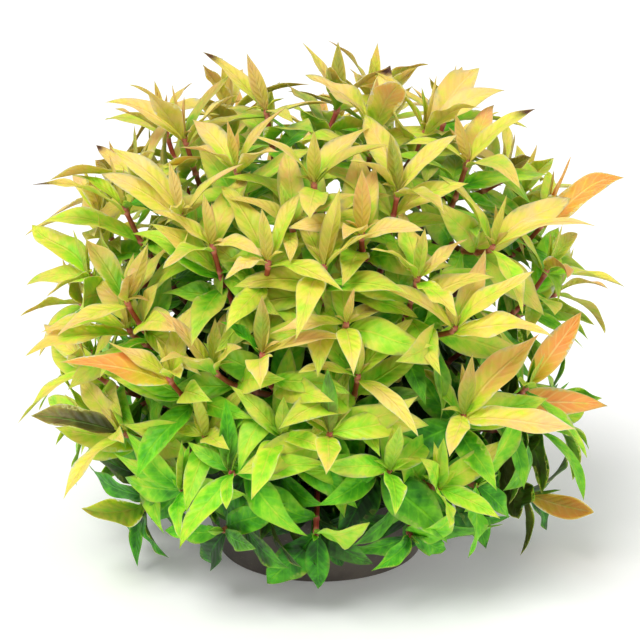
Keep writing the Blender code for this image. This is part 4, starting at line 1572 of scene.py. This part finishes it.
    def add_stem(self, surface: Surface, line: Line, nodes: list[float]) -> None:
        """Builds one stem: nearly round, four-ribbed, swollen at its nodes.

        Args:
            surface: what it is added to.
            line: its middle line.
            nodes: how far back from the apex its leaf pairs stand.
        """
        last = len(line.run) - 1
        steps = [round(line.length - i * line.length / last, 6) for i in range(last + 1)]
        steps += [node + shift for node in nodes for shift in self.SWELLINGS]
        backs = sorted({round(b, 5) for b in steps if 0 <= b <= line.length}, reverse=True)
        top = line.points[-1]
        turns = np.linspace(0, 2 * math.pi, self.STEM_SIDES, endpoint=False)
        rings, ages, marks = [], [], []
        normal = Vector((1, 0, 0))
        for back in backs:
            place, along, half = line.at(back)
            normal = (normal - along * normal.dot(along)).normalized()
            second = along.cross(normal)
            near = min((abs(back - node) for node in nodes), default=1.0)
            mark = math.exp(-((near / self.NODE_REACH) ** 2))
            ribbed = 1 + self.RIB_HEIGHT * np.cos(self.RIBS * turns)
            radius = half * self.ROUND * (1 + self.NODE_SWELL * mark) * ribbed
            if back == backs[-1]:
                radius = radius * self.APEX_TAPER
            ring = np.array(place) + np.outer(radius * np.cos(turns), normal)
            rings.append(ring + np.outer(radius * np.sin(turns), second))
            sunk = smooth(top.z - place.z, 10 * MM, 90 * MM)
            ages.append(smooth(back, 0, self.AGED_BELOW) * (self.SUNLIT_AGE + (1 - self.SUNLIT_AGE) * sunk))
            marks.append(mark)
        if not line.is_side:
            rings.insert(0, rings[0] - np.array(UP) * self.ROOT_DEPTH)
            ages.insert(0, ages[0])
            marks.insert(0, 0.0)
        sides = self.STEM_SIDES
        ids = np.arange(len(rings) * sides).reshape(-1, sides)
        faces = ring_faces(ids) + [ids[0][::-1].tolist(), ids[-1].tolist()]
        age = np.repeat(ages, sides)
        node = np.repeat(marks, sides)
        blush = self.bush.rng.uniform(*self.BLUSHES)
        surface.add(np.concatenate(rings), faces, age=age, node=node, blush=blush)


# Pot and soil


@dataclass
class Pot:
    """The pot: turned, with soft edges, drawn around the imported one."""

    sides: int = 112
    base: float = 50 * MM
    wall: float = 62.5 * MM
    rim_depth: float = 9 * MM
    thickness: float = 3.5 * MM
    floor: float = 4 * MM
    edge: float = 1.1 * MM
    foot_inset: float = 2.2 * MM
    hollow: float = 1.0 * MM

    def profile(self) -> list[tuple[float, float, float]]:
        """The outline from the middle of the base, over the rim, to the middle of the floor.

        Returns:
            Points of (radius, height, wear).
        """
        low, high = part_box("pot")
        rim, height = high.x, high.z
        base, wall = self.base, self.wall
        under = height - self.rim_depth
        taper = (wall - base) / under
        points = [(0.0, self.hollow, 0.0), (base - 3 * self.foot_inset, self.hollow, 0.0)]
        points += self.corner(base - self.foot_inset * 2.2, 0.0, 0.5 * MM, (-1, 0), (1, 0))
        points += self.corner(base, 0.0, self.edge, (1, 0), (taper, 1), 1.0)
        points += self.corner(wall, under, self.edge * 0.7, (taper, 1), (1, 0.1))
        points += self.corner(rim, under + 0.6 * MM, self.edge, (1, 0.1), (0, 1), 0.8)
        points += self.corner(rim, height, self.edge * 1.3, (0, 1), (-1, 0), 1.0)
        points += self.corner(wall - self.thickness, height, self.edge, (-1, 0), (-0.25, -1), 1.0)
        points += [(base - self.thickness, self.floor, 0.0), (0.0, self.floor, 0.0)]
        return [(r, max(low.z, z), w) for r, z, w in points]

    def corner(
        self,
        radius: float,
        height: float,
        size: float,
        coming: tuple[float, float],
        going: tuple[float, float],
        wear: float = 0.0,
    ) -> list[tuple[float, float, float]]:
        """A rounded corner of the profile.

        Args:
            radius: the corner's distance from the axis.
            height: its height.
            size: how far from the corner the rounding starts.
            coming: the direction towards it.
            going: the direction away from it.
            wear: how rubbed it is.

        Returns:
            Five points of (radius, height, wear) on a curve.
        """
        a = Vector(coming).normalized() * -size
        b = Vector(going).normalized() * size
        found = []
        for t in (0.0, 0.25, 0.5, 0.75, 1.0):
            x, y = a * (1 - t) ** 2 + b * t * t
            found.append((radius + x, height + y, wear * (1 - abs(2 * t - 1) * 0.5)))
        return found

    def build(self, finish: bpy.types.Material) -> bpy.types.Object:
        """Turns the profile.

        Args:
            finish: the pot's material.

        Returns:
            The pot.
        """
        surface = Surface()
        first, *profile, last = self.profile()
        turns = np.linspace(0, 2 * math.pi, self.sides, endpoint=False)
        rings = []
        for radius, height, _ in profile:
            level = np.full(self.sides, height)
            rings.append(np.stack((radius * np.cos(turns), radius * np.sin(turns), level), axis=1))
        low_id = len(rings) * self.sides
        ids = np.arange(low_id).reshape(-1, self.sides)
        faces = ring_faces(ids) + fan(low_id, ids[0], flip=True) + fan(low_id + 1, ids[-1])
        ends = np.array(((0, 0, first[1]), (0, 0, last[1])))
        worn = np.concatenate((np.repeat([wear for _, _, wear in profile], self.sides), (0.0, 0.0)))
        surface.add(np.concatenate((*rings, ends)), faces, worn=worn)
        return surface.mesh("pot_turned", finish)


@dataclass
class Soil:
    """The sand in the pot: a lumpy mound, with grit of many sizes lying on it."""

    rng: random.Random
    rings: int = 26
    sides: int = 96
    grains: int = 2600
    edge_height: float = 45.5 * MM
    mound: float = 3.0 * MM
    wall: float = 62.5 * MM
    lump: float = 0.35 * MM
    lump_width: float = 4.1 * MM
    lump_depth: float = 3.3 * MM
    press: float = 0.25 * MM
    foot_share: float = 0.8
    grain: float = 0.45 * MM
    grain_growth: float = 2.2
    grain_stretch: tuple[float, float] = (0.75, 1.3)
    grain_bumps: float = 0.18
    grain_lift: float = 0.2
    edge_gap: float = 1.5 * MM
    shade_spread: tuple[float, float] = (0.85, 1.1)
    sand: Colour = (0.52, 0.44, 0.33)
    shades: tuple[Colour, ...] = (
        (0.62, 0.53, 0.40),
        (0.72, 0.66, 0.55),
        (0.50, 0.40, 0.28),
        (0.80, 0.76, 0.68),
        (0.30, 0.22, 0.15),
        (0.14, 0.11, 0.09),
        (0.58, 0.46, 0.32),
    )

    def height(self, x: float, y: float) -> float:
        """The mound's height.

        Args:
            x: how far right of the axis.
            y: how far behind it.

        Returns:
            The height above the pot's foot.
        """
        flat = math.hypot(x, y)
        lumps = self.lump * math.sin(x / self.lump_width + 1.3) * math.sin(y / self.lump_depth + 0.4)
        return self.edge_height + self.mound * (1 - (flat / self.wall) ** 2) + lumps

    def build(self, finish: bpy.types.Material) -> bpy.types.Object:
        """Builds the sand and its grit as one piece.

        Args:
            finish: the soil's material.

        Returns:
            The soil.
        """
        surface = Surface()
        low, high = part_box("soil")
        edge = high.x + self.press
        turns = [2 * math.pi * side / self.sides for side in range(self.sides)]
        corners = [(0.0, 0.0, self.height(0, 0))]
        for ring in range(1, self.rings + 1):
            for turn in turns:
                x, y = edge * ring / self.rings * math.cos(turn), edge * ring / self.rings * math.sin(turn)
                corners.append((x, y, self.height(x, y)))
        for turn in turns:
            x, y = self.foot_share * edge * math.cos(turn), self.foot_share * edge * math.sin(turn)
            corners.append((x, y, low.z))
        corners.append((0.0, 0.0, low.z))
        ids = np.arange((self.rings + 1) * self.sides).reshape(-1, self.sides) + 1
        faces = ring_faces(ids, flip=True) + fan(0, ids[0]) + fan(len(corners) - 1, ids[-1], flip=True)
        surface.add(np.array(corners), faces, shade=np.array(self.sand))
        self.scatter(surface, edge)
        return surface.mesh("soil_sand", finish)

    def scatter(self, surface: Surface, edge: float) -> None:
        """Lays the grains on the mound, half sunk.

        Args:
            surface: what they are added to.
            edge: the mound's radius.
        """
        bm = bmesh.new()
        bmesh.ops.create_icosphere(bm, subdivisions=1, radius=1.0)
        ball = np.array([v.co for v in bm.verts])
        faces = [[v.index for v in f.verts] for f in bm.faces]
        bm.free()
        for _ in range(self.grains):
            flat = (edge - self.edge_gap) * math.sqrt(self.rng.random())
            turn = self.rng.uniform(0, 2 * math.pi)
            x, y = flat * math.cos(turn), flat * math.sin(turn)
            size = self.grain * (1 + self.grain_growth * self.rng.random() ** 4)
            stretch = np.array([size * self.rng.uniform(*self.grain_stretch) for _ in range(3)])
            rough = np.array([self.rng.uniform(-1, 1) for _ in range(len(ball))])
            bumps = 1 + self.grain_bumps * rough[:, None]
            axis = (self.rng.uniform(-1, 1), self.rng.uniform(-1, 1), 1)
            spin = Quaternion(axis, self.rng.uniform(0, 6)).to_matrix()
            grain = (ball * stretch * bumps) @ np.array(spin).T
            corners = grain + np.array((x, y, self.height(x, y) + self.grain_lift * size))
            shade = np.array(self.rng.choice(self.shades)) * self.rng.uniform(*self.shade_spread)
            surface.add(corners, faces, shade=shade)


# Studio


@dataclass
class Studio:
    """The floor, the soft lights and the camera."""

    floor_size: float = 9.0
    sky: float = 0.54
    sun: float = 2.35
    sun_width: float = math.radians(30)
    sun_from: tuple[float, float, float] = (-0.7, -1.1, 1.8)
    fill: float = 7
    fill_size: float = 1.2
    fill_from: tuple[float, float, float] = (1.3, -1.1, 0.8)
    fill_aim: tuple[float, float, float] = (0.0, 0.0, 0.10)

    def build(self) -> None:
        """Builds the floor, the lights, the pale surroundings and the camera."""
        bpy.context.scene.view_settings.view_transform = "Standard"
        self.add_floor()
        self.add_sun()
        self.add_fill()
        world = bpy.data.worlds.new("surroundings")
        world.use_nodes = True
        ground = world.node_tree.nodes["Background"]
        ground.inputs["Color"].default_value = (1.0, 1.0, 1.0, 1)
        ground.inputs["Strength"].default_value = self.sky
        bpy.context.scene.world = world
        self.add_camera()

    def add_floor(self) -> None:
        """Lays the pale floor."""
        half = self.floor_size / 2
        surface = Surface()
        corners = np.array([(-half, -half, 0), (half, -half, 0), (half, half, 0), (-half, half, 0)], float)
        surface.add(corners, [[0, 1, 2, 3]])
        floor = surface.mesh("floor", FloorFinish().material())
        floor.location.z = -0.2 * MM

    def add_sun(self) -> None:
        """Adds the soft sun, high in front on the left."""
        data = bpy.data.lights.new("sun", "SUN")
        data.energy = self.sun
        data.angle = self.sun_width
        light = bpy.data.objects.new("sun", data)
        light.rotation_euler = (-Vector(self.sun_from)).to_track_quat("-Z", "Y").to_euler()
        bpy.context.scene.collection.objects.link(light)

    def add_fill(self) -> None:
        """Hangs a soft square light in front on the right, to lift the shadows."""
        data = bpy.data.lights.new("fill", "AREA")
        data.size = self.fill_size
        data.energy = self.fill
        light = bpy.data.objects.new("fill", data)
        light.location = self.fill_from
        aim = Vector(self.fill_aim) - Vector(self.fill_from)
        light.rotation_euler = aim.to_track_quat("-Z", "Y").to_euler()
        bpy.context.scene.collection.objects.link(light)

    def add_camera(self) -> None:
        """Sets the camera in front and a little above."""
        data = bpy.data.cameras.new("camera")
        data.lens = VIEW_LENS
        camera = bpy.data.objects.new("camera", data)
        camera.location = EYE
        camera.rotation_euler = AHEAD.to_track_quat("-Z", "Y").to_euler()
        bpy.context.scene.collection.objects.link(camera)
        bpy.context.scene.camera = camera


def put(piece: bpy.types.Object, slot: Slot, *nodes: str) -> None:
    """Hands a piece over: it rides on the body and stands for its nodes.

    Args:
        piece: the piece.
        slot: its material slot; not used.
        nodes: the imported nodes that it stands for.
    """
    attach(piece, BODY)
    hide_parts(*nodes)
    triangles = sum(len(face.vertices) - 2 for face in piece.data.polygons)
    log.info("%s: %d triangles", piece.name, triangles)


def grow_bush(rng: random.Random) -> None:
    """Grows every shoot of the bush and hands its leaves and stems over.

    Args:
        rng: the seeded random numbers.
    """
    bush = Bush(rng)
    names = sorted(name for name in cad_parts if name.startswith("shoot"))
    shoots = [Shoot(name, Reader(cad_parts[name]), bush) for name in names]
    for shoot in shoots:
        for line in shoot.reader.lines:
            bush.crowding.take(np.array([tuple(p) for p in line.run]))
    for shoot in shoots:
        shoot.read_leaves()
    for shoot in shoots:
        shoot.add_buds()
    Standouts([leaf for shoot in shoots for leaf in shoot.leaves])
    for shoot in shoots:
        shoot.add_older()
    leaf_finish, stem_finish = LeafFinish().material(), StemFinish().material()
    for shoot in shoots:
        put(shoot.leaf_piece(leaf_finish), Slot.LEAF, shoot.name)
        put(shoot.stem_piece(stem_finish), Slot.STEM, shoot.name)
    log.info("%d leaves on %d shoots", sum(len(shoot.leaves) for shoot in shoots), len(shoots))


def main() -> None:
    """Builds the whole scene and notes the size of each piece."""
    rng = random.Random(SEED)
    Studio().build()
    put(Pot().build(PotFinish().material()), Slot.POT, "pot")
    put(Soil(rng).build(SoilFinish().material()), Slot.SOIL, "soil")
    grow_bush(rng)


if __name__ == "__main__":
    main()
